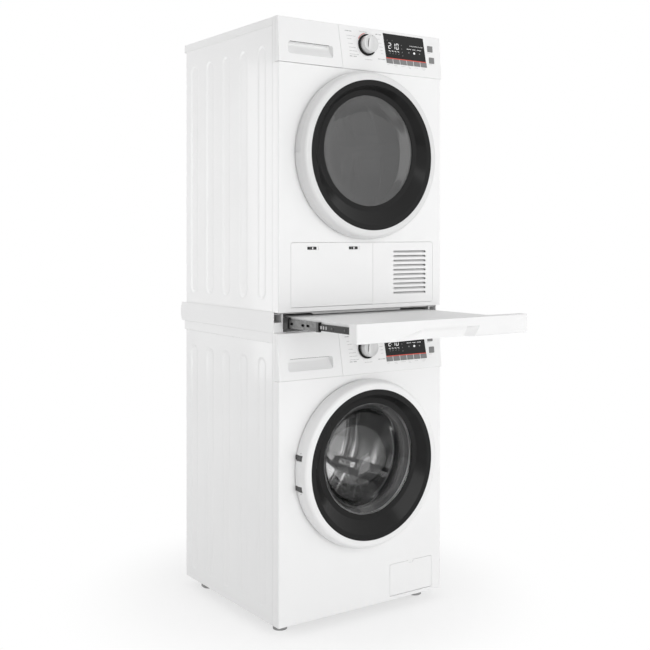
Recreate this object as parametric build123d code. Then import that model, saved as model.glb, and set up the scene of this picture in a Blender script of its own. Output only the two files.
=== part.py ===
from build123d import *
import math
import os

os.makedirs("parts", exist_ok=True)

# A front-loading washing machine with a condenser dryer stacked on it. A stacking kit with a
# pull-out shelf joins the two. Millimetres, +Z up, +X to the user's right, +Y towards the wall.
# Inside the functions Y is measured from the plane of the front panels; save() moves every
# piece so that the origin lies on the floor at the centre of the overall footprint.

# ---- cabinets -------------------------------------------------------------------------------
WIDTH = 595.0           # outside width of both machines
HALF = WIDTH / 2
DEPTH = 559.5           # front panel to rear wall
SHEET = 1.2             # painted steel sheet
WALL = 2.5              # moulded plastic wall
GAP = 0.3               # between pieces that seat on each other
SEAM = 0.8              # open line between neighbouring covers
CORNER_R = 4.0          # bend radius of the sheet corners
RETURN = 32.6           # how far the front panel wraps round the sides
COVER_R = 2.0           # rounded upper edges of the top covers
REAR_OVERHANG = 13.0    # top cover past the rear wall
FOOT_H = 29.0           # washer foot height
FOOT_R = 20.0
FOOT_STEM_R = 5.0
FOOT_STEM_L = 34.0
FOOT_PAD_H = 8.0
NUT_R = 9.0
NUT_H = 5.0
NUT_DOWN = 9.0          # lock nut's lower face below the cabinet
FOOT_INSET_X = 48.0     # foot centre from the side
FOOT_INSET_Y = 68.0     # foot centre from the front panel and from the rear wall
PAD_H = 4.0             # dryer foot height, screwed right in
WASHER_H = 821.0        # washer cabinet without feet
DRYER_H = 831.0         # dryer cabinet without feet
KIT_H = 54.0            # washer top to dryer foot
WASHER_BAND = 28.0      # height of the top cover's edge
DRYER_BAND = 24.0

# ---- connections on the rear walls ----------------------------------------------------------
INLET_X = -215.0        # G3/4 water inlet
INLET_DOWN = 90.0       # below the washer's top
INLET_R = 13.2
INLET_L = 15.0
INLET_BORE = 8.0
DRAIN_X = 215.0
DRAIN_DOWN = 150.0
DRAIN_R = 11.0
DRAIN_L = 22.0
DRAIN_BORE = 8.5
SERVICE_X = (147.5 - HALF, HALF - 122.5)    # washer's rear service cover
SERVICE_Z = (130.0, 610.0)  # above the cabinet's bottom
SERVICE_R = 20.0
SERVICE_H = 4.0
GLAND_R = 9.0           # mains cable gland
GLAND_L = 9.0
WASHER_GLAND_DOWN = 80.0    # below the washer's top
DRYER_GLAND_UP = 60.0   # above the dryer cabinet's bottom
RAIL_W = 22.0           # cross rails under the washer's top cover
RAIL_LUG = (16.0, 8.0)  # width and height of their welded end lugs
DUCT_R = 215.0          # dryer's rear duct cover
DUCT_H = 6.0
BEARING_R = 34.0        # drum bearing behind that cover
BEARING_L = 28.0
BEARING_CAP = 6.0       # rear wall left behind the bearing's bore

# ---- side ribs ------------------------------------------------------------------------------
RIB_COUNT = 5
RIB_PITCH = 103.0
RIB_W = 50.0
RIB_DEPTH = 1.6
RIB_FIRST = 90.0        # front rib's centre from the front panel
RIB_LOW = 33.0          # rib ends from the cabinet's bottom
RIB_TOP = 72.0          # rib ends from the cabinet's top

# ---- control panels -------------------------------------------------------------------------
WASHER_FASCIA_H = 134.0
DRYER_FASCIA_H = 129.0
FASCIA_LIP = 5.0        # bottom edge stands proud of the front panel
FASCIA_BACK = 5.5       # top edge is set back from the front panel
FASCIA_R = 3.0
SPLIT_LOW = 218.5 - HALF    # slanted joint between drawer and fascia, at its bottom
SPLIT_TOP = SPLIT_LOW - 11.0
DRAWER_SEAT = 17.0      # depth of the drawer front
KNOB_X = 11.0
KNOB_V = 77.0           # heights on a control panel are measured up its face
BEZEL_R = 36.0
BEZEL_W = 2.4
BEZEL_H = 1.6
KNOB_SKIRT_R = 32.0
KNOB_SKIRT_H = 5.0
KNOB_R = 25.5
KNOB_H = 25.0
KNOB_STEM_R = 4.0
KNOB_STEM_L = 8.0       # behind the panel's wall
KNOB_LEDGE = 1.5        # the grip's foot past its top
KNOB_DISH = 2.5         # depth of the dished face round the thumb bar
KNOB_EDGE = 5.0         # rim left round that dish
THUMB_W = 10.0
THUMB_TURN = 30.0       # degrees
BOSS_WALL = 4.0         # round the knob's stem
RUNNING = 0.1           # radial clearance of pins and shafts
SLANT = 10.5 / 90.0     # sideways lean of the display per mm of height
WINDOW_X = (84.0, HALF - 57.0)   # left and right edge at KEY_V
WINDOW_V = (46.5, 121.0)
KEY_V = 31.0
KEY_H = 14.0
KEY_COUNT = 6
KEY_GAP = 3.0
KEY_FLANGE = 2.0        # thickness and overhang of the flange behind a key
KEY_PROUD = 1.0
KEY_TRAVEL = 0.8
KEY_CLEAR = 0.3         # round a key in its hole
SIDE_KEY = (20.0, 18.5)     # power and start keys, width and height
POWER_AT = (HALF - 41.0, 90.5)
START_AT = (HALF - 36.5, 55.0)
LENS_T = 1.6

# ---- detergent drawer and water tank --------------------------------------------------------
GRIP_X = (30.5 - HALF, 185.5 - HALF)
GRIP_V = (25.0, 61.5)
GRIP_D = 15.0
GRIP_UNDERCUT = 5.0     # the finger slot behind the grip's upper edge
GRIP_SLOT_Y = (5.0, 12.0)   # that slot's depth range
GRIP_SLOT_H = 8.0       # and how far it reaches below the edge
UNDERCUT_INSET = 6.0    # and how far it stops from the grip's sides
GRIP_R = 9.0
GRIP_DRAFT = 14.0       # degrees
TRAY_X = (25.5 - HALF, 193.5 - HALF)
TRAY_Z = (20.0, 96.0)   # above the fascia's bottom edge
TRAY_LEN = 300.0
TANK_LEN = 430.0
TANK_TOP = 100.0        # above the fascia's bottom edge
TANK_CLEAR = 12.2       # between the drum and the tank above it
TRAY_GAP = 1.0          # round the tray in its housing
PREWASH_W = 70.5        # left-hand compartment of the tray
SOFTENER_L = 165.0      # front right-hand compartment
RUNNER_INSET = 12.0     # runner centres from the tray's sides
RUNNER_W = 6.0
NECK_R = 16.0           # hose neck under the drawer housing
NECK_H = 20.0
NECK_X = 107.5 - HALF
NECK_FRONT = 40.0       # its centre ahead of the housing's rear
POUR_INSET = 40.0       # pouring hole from the tank's sides
POUR_BACK = (20.0, 90.0)    # and ahead of its rear
SLEEVE_L = 120.0        # tank sleeve behind the dryer's control panel

# ---- doors ----------------------------------------------------------------------------------
DOOR_R = 243.0          # white ring at the front panel
WASHER_DOOR_DOWN = 16.0     # ring below the control panel
DRYER_DOOR_DOWN = 9.0
DOOR_CREST_R = 219.0    # where the white ring meets the black trim
DOOR_D = 48.0
DOOR_OFF = 1.5          # gap between door and front panel
DOOR_SKIN = 3.0
DOOR_BULGE = 2.5        # the ring's flank swells past its foot
DOOR_CREST = 14.0       # radial width of the rounding at the ring's front
PULL_D = 3.6            # finger facet in the free side's flank, at its lower end
PULL_Y = (-30.0, -7.0)
PULL_SPAN = 52.0        # degrees over which it runs out
TRIM_R = 203.0          # inner edge of the trim's flat band
EYE_R = 178.0           # inner edge of the trim's slope
EYE_UP = 14.0           # the eye sits above the door's centre
EYE_Y = -27.0
STEP_W = 16.0           # dark step round the glass
STEP_T = 2.0
MOUTH_R = 176.0         # opening of the washer's front panel
MOUTH_ROLL = 9.0        # its edge is rolled inwards this far
DRYER_MOUTH_R = 182.0
HINGE_X = 236.0
HINGE_Y = -24.0
PIN_R = 3.0
HINGE_PITCH = 87.0      # between the two hinge arms
ARM_H = 13.0
ARM_CLEAR = 1.5
ARM_W = 8.0
ARM_SWING = 112.0       # degrees of room for the arms
KNUCKLE_R = 7.0
LEAF_W = 22.0
LEAF_T = 3.0
PIN_L = HINGE_PITCH + ARM_H + 16.0
STOCK_W = 28.0          # solid stock round the pin inside the ring
BOWL_R = 138.0          # at the front panel's plane
BOWL_D = 92.0           # how far the washer's glass reaches behind the front panel
GLASS_T = 4.0
HOOK_X = 208.0
HOOK_D = 13.0
HOOK_T = 4.0
HOOK_H = 28.0
HOOK_SLOT = (14.0, 48.0)    # width and height of its slot in the front panel

# ---- washer internals -----------------------------------------------------------------------
TUB_R = HALF - 45.5
TUB_T = 4.0
TUB_Y = (62.0, 410.0)
TUB_BEARING_R = 48.0
TUB_BEARING_L = 18.0
SPRING_X = 165.0
SPRING_LUG = 28.0
SPRING_COILS = 8
STRUT_X = 150.0
STRUT_Y = 215.0
STRUT = ((17.0, 120.0), (9.0, 300.0))   # radius and height of its body and of its rod
SPRING_Y = 360.0
DRUM_R = TUB_R - 15.0
DRUM_T = 1.5
DRUM_Y = (78.0, 384.0)
DRUM_LIP_R = 172.0
LIFTER = (64.0, 18.0, 45.0)     # foot width, top width and height
SPIDER_R = 40.0
SPIDER_L = 14.0
SPIDER_W = 28.0
SHAFT_R = 12.5
PULLEY_R = 135.0
PULLEY_W = 16.0
PULLEY_Y = 440.0
PULLEY_RIM = 8.0
PULLEY_HUB_R = 30.0
SPOKES = 6
SPOKE_W = 18.0
MOTOR_SHAFT_R = 6.0
MOTOR_OFF = 8.0         # motors end this far ahead of their belts
MOTOR_RIB = (3.0, 6.0)  # height and width of a can's ribs
WEIGHT_X = (-60.0, 190.0)   # concrete block on the tub
WEIGHT_Y = (120.0, 330.0)
WEIGHT_UP = 62.0        # its top above the tub
FRONT_WEIGHT_W = 340.0  # concrete crescent on the tub's front
MOTOR_AT = (95.0, 100.0)    # x, and z above the washer cabinet's bottom
MOTOR_R = 62.0
MOTOR_L = 130.0
SPINDLE_R = 14.0
BELT_T = 3.0
BELT_W = PULLEY_W - 4.0
PUMP_Y = (4.5, 11.0, 17.0, 120.0, 180.0)    # grip bar, cap, filter housing, pump, its rear
PUMP_R = (31.0, 36.0, 28.0)     # cap, filter housing and pump
CAP_GRIP = (48.0, 8.0)
PUMP_FOOT_W = 40.0
PUMP_FOOT_Y = (40.0, 110.0)
FLAP_X = (HALF - 199.5, HALF - 37.5)
FLAP_Z = (11.0, 106.0)  # above the cabinet's bottom
FLAP_R = 4.0
FLAP_T = 3.0
NOTCH_W = 18.0          # finger notch in the washer flap's upper edge
NOTCH_H = 7.0
FLAP_PIN_R = 1.0
FLAP_PIN_L = 1.8        # pin past the flap's edge, into the frame of its opening
RIM_D = 14.0            # depth of the frame round a flap's opening
UPPER = ((False, True), (True, True))   # left and right upper corner

# ---- dryer internals ------------------------------------------------------------------------
BIN_R = HALF - 19.5
BIN_Y = (44.0, DEPTH - 54.5)
BIN_LIP_R = 205.0
BIN_LIFTER = (80.0, 20.0, 60.0)
BIN_HUB_R = 30.0
BIN_MOTOR_AT = (185.0, 78.0)    # x, and z above the dryer cabinet's bottom
BIN_MOTOR_R = 48.0
BIN_MOTOR_L = 110.0
BIN_SPINDLE_R = 9.0
BIN_BELT_Y = 430.0
FILTER_W = 150.0
FILTER_H = 120.0
FILTER_T = 14.0
FILTER_Y = 20.0
FILTER_FRAME = 8.0      # round the mesh windows
FILTER_BAR = 6.0        # between them
FILTER_WINDOWS = 3
TAB_W = 56.0            # pull tab
TAB_H = 17.0
COLLAR_W = 12.0         # collar inside the dryer's mouth
LOWER_X = (41.5 - HALF, HALF - 32.5)
LOWER_Z = (13.0, 196.0)     # above the dryer cabinet's bottom
LOWER_SPLIT = 33.0
LOWER_R = 7.0
CONDENSER_REAR = 330.0
CONDENSER_FRONT = RETURN + 20.0
CONDENSER_INSET = 14.0      # from the edges of the flap in front of it
CONDENSER_DOWN = 34.0
CONDENSER_WALL = 8.0
SLOT_COUNT = 10
SLOT_X = (HALF - 187.0, HALF - 60.0)
SLOT_Z = (36.0, 174.0)
SLOT_H = 6.5
LATCH_X = (LOWER_X[0] + 71.5, LOWER_SPLIT - 71.5)
LATCH_SIZE = (31.0, 8.0)
LATCH_Z = 180.0
LATCH_TRAVEL = 6.0

# ---- stacking kit and shelf -----------------------------------------------------------------
KIT_W = WIDTH + 5.0
KIT_SHEET = 2.0
KIT_Y = (23.0, DEPTH + 32.5)
KIT_BULGE = 10.0        # the side walls' rear ends are rounded by this much
KIT_LIP = 1.0           # the side walls reach up past the dryer's bottom
POST_X = KIT_W / 2 - 27.0   # outer face of the slide brackets
SLIDE_X = POST_X - 5.0      # outer face of the fixed slide members
CROSSBAR_X = POST_X - 105.0     # half length of the deck's front lip
CROSSBAR_H = 6.5
CROSSBAR_END = 8.0      # its slanted ends
DECK_SET = 8.0          # upper deck behind the side walls' front edges
CAP_H = 29.0            # height of the corner caps beside the slides
CAP_D = 26.0
SLIDE_Z = 27.5          # slide centre above the kit's bottom
SLIDE_H = 35.0
SLIDE_T = 1.5
MIDDLE_H = 25.0
INNER_H = 18.0
SLIDE_LEN = KIT_Y[1] - 102.0
MIDDLE_OUT = 144.0      # how far the middle members stand out of the front panel's plane
MIDDLE_SLOTS = (-97.0, -72.0, -16.0)    # slots in the middle members' webs, along Y
MIDDLE_SLOT = (15.0, 7.0)
CAGE_LEN = 188.0
SHELF_OUT = 338.0       # rear of the shelf front, ahead of the front panel's plane
SHELF_W = 2 * SLIDE_X - 28.0
SHELF_Z = (33.0, 45.0)  # shelf board above the kit's bottom
SHELF_LEN = SLIDE_LEN - 10.0
BOARD_LIP = 12.0        # the board's side lips, which the slides are screwed to
FRONT_W = KIT_W + 2.0
FRONT_T = 30.0
FRONT_Z = (2.0, 53.5)
FRONT_R = 5.0
FRONT_WALL = 3.0
SCOOP_EDGE = (-196.0, -80.0, 119.0, 97.0)   # low left, high left, high right, low right
SCOOP_FLOOR = (-65.0, -76.0, 87.0, 74.0)    # the same corners at its full depth
SCOOP_H = (28.0, 26.0)      # at its edge and at its full depth
SCOOP_D = 17.0

# ---- worked out -----------------------------------------------------------------------------
WASHER_Z = FOOT_H
WASHER_TOP = WASHER_Z + WASHER_H
KIT_Z = WASHER_TOP
DRYER_Z = KIT_Z + KIT_H + PAD_H
DRYER_TOP = DRYER_Z + DRYER_H
SHELF_FRONT_Y = -SHELF_OUT - FRONT_T
ORIGIN_Y = (SHELF_FRONT_Y + KIT_Y[1]) / 2
WASHER_DOOR_Z = WASHER_H - WASHER_FASCIA_H - DOOR_R - WASHER_DOOR_DOWN
DRYER_DOOR_Z = DRYER_H - DRYER_FASCIA_H - DOOR_R - DRYER_DOOR_DOWN
DRUM_TOP = DRYER_DOOR_Z + EYE_UP + math.sqrt(BIN_R ** 2 - TRAY_X[1] ** 2)  # at the tank's edge
TANK_Z = (DRUM_TOP + TANK_CLEAR - DRYER_H + DRYER_FASCIA_H, TANK_TOP)


class Machine:
    """The sizes in which the two machines differ."""

    def __init__(self, name, bottom, height, band, fascia, door, mouth, hinge_side):
        self.name = name
        self.z0 = bottom
        self.z1 = bottom + height
        self.side_top = self.z1 - band
        self.fascia_z = self.z1 - fascia
        self.fascia_h = fascia
        self.door_z = bottom + door
        self.axis_z = self.door_z + EYE_UP
        self.mouth_r = mouth
        self.hinge = hinge_side
        self.lean = math.atan2(FASCIA_LIP + FASCIA_BACK, fascia)
        normal = (0, -math.cos(self.lean), math.sin(self.lean))
        self.face = Plane(origin=(0, -FASCIA_LIP, self.fascia_z), x_dir=(1, 0, 0), z_dir=normal)


WASHER = Machine("washer", WASHER_Z, WASHER_H, WASHER_BAND, WASHER_FASCIA_H, WASHER_DOOR_Z, MOUTH_R, -1)
DRYER = Machine("dryer", DRYER_Z, DRYER_H, DRYER_BAND, DRYER_FASCIA_H, DRYER_DOOR_Z, DRYER_MOUTH_R, 1)


# ---- helpers --------------------------------------------------------------------------------
def save(name, shape):
    """Write one piece, moved to the shared origin."""
    export_step(Pos(0, -ORIGIN_Y, 0) * shape, f"parts/{name}.step")


def block(x, y, z):
    """A box between pairs of limits."""
    size = Box(x[1] - x[0], y[1] - y[0], z[1] - z[0])
    return Pos((x[0] + x[1]) / 2, (y[0] + y[1]) / 2, (z[0] + z[1]) / 2) * size


def disc(radius, y, x=0.0, z=0.0):
    """A cylinder along Y between two limits."""
    circle = Plane.XZ * Circle(radius)
    return Pos(x, y[0], z) * extrude(circle, -(y[1] - y[0]))


def pipe(outer, inner, y, z=0.0):
    """A tube along Y between two limits."""
    return disc(outer, y, 0, z) - disc(inner, (y[0] - 1, y[1] + 1), 0, z)


def turned(points, x=0.0, z=0.0):
    """Revolve an outline of (radius, y) points about the Y axis."""
    outline = make_face(Polyline([(r, y, 0) for r, y in points], close=True))
    return Pos(x, 0, z) * revolve(outline, Axis.Y)


def about(middle, size):
    """The limits of a size centred on a place."""
    return middle - size / 2, middle + size / 2


def panel(x, z, y, radius):
    """A plate in the XZ plane with rounded corners."""
    shape = RectangleRounded(x[1] - x[0], z[1] - z[0], radius)
    plate = extrude(Plane.XZ * shape, -(y[1] - y[0]))
    return Pos((x[0] + x[1]) / 2, y[0], (z[0] + z[1]) / 2) * plate


def hatch(x, z, y, radius, rounded):
    """A plate in the XZ plane; rounded lists its rounded corners, as (right side?, upper side?)."""
    shape = Rectangle(x[1] - x[0], z[1] - z[0])
    corners = [v for v in shape.vertices() if (v.X > 0, v.Y > 0) in rounded]
    plate = extrude(Plane.XZ * fillet(corners, radius), -(y[1] - y[0]))
    return Pos((x[0] + x[1]) / 2, y[0], (z[0] + z[1]) / 2) * plate


def on_face(machine, sketch, low, high):
    """Extrude a sketch on a control panel's face, between two heights above that face."""
    return extrude(machine.face.offset(low) * sketch, high - low)


def slanted(left, right, low, high):
    """A parallelogram whose sides lean with the display; left and right are taken at KEY_V."""
    def at(x, v):
        return (x - SLANT * (v - KEY_V), v)
    return Polygon(at(left, low), at(right, low), at(right, high), at(left, high), align=None)


def at_box(x, v, size):
    return Pos(x, v) * RectangleRounded(size[0], size[1], 1.2)


# ---- cabinet --------------------------------------------------------------------------------
def ribs(machine, width, depth):
    """The left side's stiffening ribs, as solids going inwards from the outer face."""
    low = machine.z0 + RIB_LOW
    high = machine.z1 - RIB_TOP
    stadium = Plane.YZ * SlotOverall(high - low, width, rotation=90)
    for i in range(RIB_COUNT):
        yield Pos(-HALF, RIB_FIRST + i * RIB_PITCH, (low + high) / 2) * extrude(stadium, depth)


def foot_places(machine):
    for x in (-HALF + FOOT_INSET_X, HALF - FOOT_INSET_X):
        for y in (FOOT_INSET_Y, DEPTH - FOOT_INSET_Y):
            yield x, y


def cabinet(machine):
    """Sides, rear wall and floor pan, folded from one sheet."""
    y0 = RETURN + SEAM / 2
    z = (machine.z0, machine.side_top - GAP)
    shell = block((-HALF, HALF), (y0, DEPTH), z)
    shell = fillet(shell.edges().filter_by(Axis.Z).group_by(Axis.Y)[-1], CORNER_R)
    inner = block((-HALF + SHEET, HALF - SHEET), (y0 - 1, DEPTH - SHEET), (z[0] + SHEET, z[1] + 1))
    shell -= inner
    for x, y in foot_places(machine):
        shell -= Pos(x, y, machine.z0) * Cylinder(FOOT_STEM_R + GAP, 6 * SHEET)
    # the sheet is pressed inwards at each rib
    wall = ribs(machine, RIB_W, RIB_DEPTH + SHEET)
    dent = ribs(machine, RIB_W - 2 * SHEET, RIB_DEPTH)
    for outer, inner in zip(wall, dent):
        for side in (outer - inner, mirror(outer - inner, Plane.YZ)):
            shell += side
        for side in (inner, mirror(inner, Plane.YZ)):
            shell -= side
    return shell


def washer_cabinet():
    m = WASHER
    shell = cabinet(m)
    top = m.side_top - GAP
    inside = HALF - SHEET
    for y in (RETURN + SEAM, SPRING_Y - RAIL_W / 2):
        shell += block((-inside, inside), (y, y + RAIL_W), (top - SHEET, top))
        for side in (-1, 1):
            x = sorted((side * inside, side * (inside - RAIL_LUG[0])))
            shell += block(x, (y, y + RAIL_W), (top - RAIL_LUG[1], top - SHEET))
    # rear service cover, pressed out
    z = (m.z0 + SERVICE_Z[0], m.z0 + SERVICE_Z[1])
    cover = panel(SERVICE_X, z, (DEPTH, DEPTH + SERVICE_H), SERVICE_R)
    shell += cover
    # water inlet, drain spigot and cable gland
    for x, down, radius, length, bore in (
            (INLET_X, INLET_DOWN, INLET_R, INLET_L, INLET_BORE),
            (DRAIN_X, DRAIN_DOWN, DRAIN_R, DRAIN_L, DRAIN_BORE)):
        shell += disc(radius, (DEPTH - SHEET / 2, DEPTH + length), x, m.z1 - down)
        shell -= disc(bore, (DEPTH - 2 * SHEET, DEPTH + length + 1), x, m.z1 - down)
    return shell + cable_gland(m.z1 - WASHER_GLAND_DOWN)


def cable_gland(z):
    return disc(GLAND_R, (DEPTH - SHEET / 2, DEPTH + GLAND_L), DRAIN_X, z)


def dryer_cabinet():
    m = DRYER
    shell = cabinet(m)
    # rear duct cover with the drum's bearing in the middle
    shell += disc(DUCT_R, (DEPTH, DEPTH + DUCT_H), 0, m.axis_z)
    shell += disc(BEARING_R, (DEPTH - BEARING_L, DEPTH - SHEET / 2), 0, m.axis_z)
    shell -= disc(SHAFT_R + RUNNING, (DEPTH - BEARING_L - 1, DEPTH - BEARING_CAP), 0, m.axis_z)
    # moulded condenser housing on the floor pan, behind the lower flap
    t = CONDENSER_WALL
    x = (LOWER_X[0] + CONDENSER_INSET, LOWER_SPLIT - CONDENSER_INSET)
    z = (m.z0 + SHEET / 2, m.z0 + LOWER_Z[1] - CONDENSER_DOWN)
    housing = block(x, (CONDENSER_FRONT, CONDENSER_REAR), z)
    mouth = block((x[0] + t, x[1] - t), (RETURN, CONDENSER_REAR - t), (z[0] + t, z[1] - t))
    shell += housing - mouth
    return shell + cable_gland(m.z0 + DRYER_GLAND_UP)


def front_panel(machine):
    """Face plate with rounded vertical edges, wrapped back round the sides."""
    z = (machine.z0, machine.fascia_z - GAP)
    y = (0, RETURN - SEAM / 2)
    shell = block((-HALF, HALF), y, z)
    shell = fillet(shell.edges().filter_by(Axis.Z).group_by(Axis.Y)[0], CORNER_R)
    shell -= block((-HALF + SHEET, HALF - SHEET), (SHEET, y[1] + 1), (z[0] + SHEET, z[1] - SHEET))
    # rolled edge of the drum's mouth
    r = machine.mouth_r
    roll = Rectangle(SHEET, MOUTH_ROLL - SHEET / 2, align=Align.MIN)
    shell += Pos(0, 0, machine.axis_z) * revolve(Pos(r, SHEET / 2) * roll, Axis.Y)
    shell -= disc(r, (-1, MOUTH_ROLL + 1), 0, machine.axis_z)
    # slot for the latch hook
    through = (-1, 2 * SHEET)
    width, height = HOOK_SLOT
    shell -= panel(about(-machine.hinge * HOOK_X, width), about(machine.door_z, height), through, 3)
    # slots for the hinge arms
    for z in arm_heights(machine):
        x = about(machine.hinge * HINGE_X, ARM_W + 2)
        shell -= block(x, through, about(z, ARM_H + 2 * GAP))
    return shell


def washer_front_panel():
    z0 = WASHER.z0
    x = (FLAP_X[0] - SEAM, FLAP_X[1] + SEAM)
    z = (z0 + FLAP_Z[0] - SEAM, z0 + FLAP_Z[1] + SEAM)
    shell = front_panel(WASHER)
    rim = ((x[0] - SHEET, x[1] + SHEET), (z[0] - SHEET, z[1] + SHEET))
    shell += hatch(*rim, (SHEET / 2, RIM_D), FLAP_R + SHEET, UPPER)
    shell -= hatch(x, z, (-1, RIM_D + 1), FLAP_R, UPPER)
    pins = (FLAP_X[0] - FLAP_PIN_L - GAP, FLAP_X[1] + FLAP_PIN_L + GAP)
    return shell - hinge_bar(pins, z0 + FLAP_Z[0], FLAP_PIN_R + RUNNING)


def dryer_front_panel():
    z0 = DRYER.z0
    x = (LOWER_X[0] - SEAM, LOWER_X[1] + SEAM)
    z = (z0 + LOWER_Z[0] - SEAM, z0 + LOWER_Z[1] + SEAM)
    shell = front_panel(DRYER)
    rim = ((x[0] - SHEET, x[1] + SHEET), (z[0] - SHEET, z[1] + SHEET))
    corners = (*UPPER, (True, False))
    shell += hatch(*rim, (SHEET / 2, RIM_D), LOWER_R + SHEET, corners)
    shell -= hatch(x, z, (-1, RIM_D + 1), LOWER_R, corners)
    pins = (LOWER_X[0] - FLAP_PIN_L - GAP, 0)
    return shell - hinge_bar(pins, z0 + LOWER_Z[0], FLAP_PIN_R + RUNNING)


def top_cover(machine):
    y = (RETURN + SEAM / 2, DEPTH + REAR_OVERHANG)
    z = (machine.side_top, machine.z1)
    cover = block((-HALF, HALF), y, z)
    cover = fillet(cover.edges().filter_by(Axis.Z).group_by(Axis.Y)[-1], CORNER_R)
    rim = cover.faces().sort_by(Axis.Z)[-1].edges().filter_by(Axis.X, reverse=True)
    cover = fillet(rim, COVER_R)
    inner = block((-HALF + WALL, HALF - WALL), (y[0] - 1, DEPTH - SHEET - 2), (z[0] - 1, z[1] - WALL))
    return cover - inner


# ---- control panel --------------------------------------------------------------------------
def fascia_body(machine, inset=0.0):
    """The control panel's outer form, leaning back towards its top; inset gives its hollow."""
    z = (machine.fascia_z + inset, machine.z1 - inset)
    front = inset / math.cos(machine.lean)
    slope = math.tan(machine.lean)
    y = (-FASCIA_LIP + inset * slope + front, FASCIA_BACK - inset * slope + front)
    back = RETURN - SEAM / 2 + inset
    outline = Polyline((0, y[0], z[0]), (0, back, z[0]), (0, back, z[1]), (0, y[1], z[1]), close=True)
    width = WIDTH - 2 * inset
    body = Pos(-width / 2, 0, 0) * extrude(make_face(outline), width, dir=(1, 0, 0))
    if inset == 0:
        body = fillet(body.edges().filter_by(Axis.X).group_by(Axis.Y)[0], FASCIA_R)
        body = fillet(body.edges().filter_by(Axis.X).group_by(Axis.Z)[-1].sort_by(Axis.Y)[0], FASCIA_R)
    return body


def drawer_zone(machine, back, shift):
    """Everything left of the slanted joint between drawer front and fascia."""
    run = (SPLIT_TOP - SPLIT_LOW) / machine.fascia_h
    low, high = -30.0, machine.fascia_h + 30.0
    ends = [(SPLIT_LOW + run * v + shift, machine.fascia_z + v) for v in (low, high)]
    far = -HALF - 30
    outline = Polygon((far, ends[0][1]), ends[0], ends[1], (far, ends[1][1]), align=None)
    return Pos(0, -30, 0) * extrude(Plane.XZ * outline, -(back + 30))


def tray_hole(machine, z_limits, y, extra):
    x = (TRAY_X[0] - extra, TRAY_X[1] + extra)
    z = (machine.fascia_z + z_limits[0] - extra, machine.fascia_z + z_limits[1] + extra)
    return block(x, y, z)


def key_places():
    """Left and right edge of each function key."""
    pitch = (WINDOW_X[1] - WINDOW_X[0] + KEY_GAP) / KEY_COUNT
    for i in range(KEY_COUNT):
        left = WINDOW_X[0] + i * pitch
        yield left, left + pitch - KEY_GAP


def fascia(machine, z_limits):
    body = fascia_body(machine)
    hollow = fascia_body(machine, WALL)
    seat = DRAWER_SEAT + SEAM
    body -= hollow - drawer_zone(machine, seat + WALL, WALL)
    body -= drawer_zone(machine, seat, SEAM / 2)
    body -= tray_hole(machine, z_limits, (seat - 2, seat + WALL + 2), TRAY_GAP)
    # the display's seat, the keys' holes and the knob's bezel and bore
    body -= on_face(machine, slanted(*WINDOW_X, *WINDOW_V), -LENS_T, 1)
    for left, right in key_places():
        hole = slanted(left - KEY_CLEAR, right + KEY_CLEAR, KEY_V - KEY_CLEAR, KEY_V + KEY_H + KEY_CLEAR)
        body -= on_face(machine, hole, -WALL - 1, 1)
    for place in (POWER_AT, START_AT):
        size = (SIDE_KEY[0] + 2 * KEY_CLEAR, SIDE_KEY[1] + 2 * KEY_CLEAR)
        body -= on_face(machine, at_box(*place, size), -WALL - 1, 1)
    knob = Pos(KNOB_X, KNOB_V)
    body += on_face(machine, knob * Circle(BEZEL_R) - knob * Circle(BEZEL_R - BEZEL_W), -1, BEZEL_H)
    body += on_face(machine, knob * Circle(KNOB_STEM_R + BOSS_WALL), -WALL - KNOB_STEM_L, -WALL / 2)
    body -= on_face(machine, knob * Circle(KNOB_STEM_R + RUNNING), -WALL - KNOB_STEM_L - 1, 1)
    return body


def display_windows():
    lens = slanted(WINDOW_X[0] + GAP, WINDOW_X[1] - GAP, WINDOW_V[0] + GAP, WINDOW_V[1] - GAP)
    return [on_face(m, lens, -LENS_T, 0) for m in (WASHER, DRYER)]


def key(machine, cap, flange):
    """A push key: its cap in the fascia's hole, and the flange that keeps it in from behind."""
    behind = -WALL - GAP
    body = on_face(machine, cap, behind - KEY_FLANGE, KEY_PROUD)
    return body + on_face(machine, flange, behind - KEY_FLANGE, behind)


def function_key(machine, left, right):
    cap = slanted(left, right, KEY_V, KEY_V + KEY_H)
    flange = slanted(left, right, KEY_V - KEY_FLANGE, KEY_V + KEY_H + KEY_FLANGE)
    return key(machine, cap, flange)


def side_key(machine, place):
    flange = (SIDE_KEY[0] + 3, SIDE_KEY[1] + 3)
    return key(machine, at_box(*place, SIDE_KEY), at_box(*place, flange))


def knob(machine):
    """Programme knob with a skirt, a drafted grip and a raised thumb bar."""
    place = Pos(KNOB_X, KNOB_V)
    body = on_face(machine, place * Circle(KNOB_SKIRT_R), SEAM, SEAM + KNOB_SKIRT_H)
    foot = SEAM + KNOB_SKIRT_H
    draft = math.degrees(math.atan2(KNOB_LEDGE, KNOB_H - foot))
    base = machine.face.offset(foot) * (place * Circle(KNOB_R + KNOB_LEDGE))
    grip = extrude(base, KNOB_H - foot, taper=draft)
    dish = on_face(machine, place * Circle(KNOB_R - KNOB_EDGE), KNOB_H - KNOB_DISH, KNOB_H + 1)
    thumb = place * Rot(0, 0, THUMB_TURN) * SlotOverall(2 * KNOB_R - 4, THUMB_W)
    bar = on_face(machine, thumb, KNOB_H - KNOB_DISH - 0.5, KNOB_H)
    stem = on_face(machine, place * Circle(KNOB_STEM_R), -WALL - KNOB_STEM_L, SEAM + 1)
    return body + (grip - dish) + bar + stem


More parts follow.
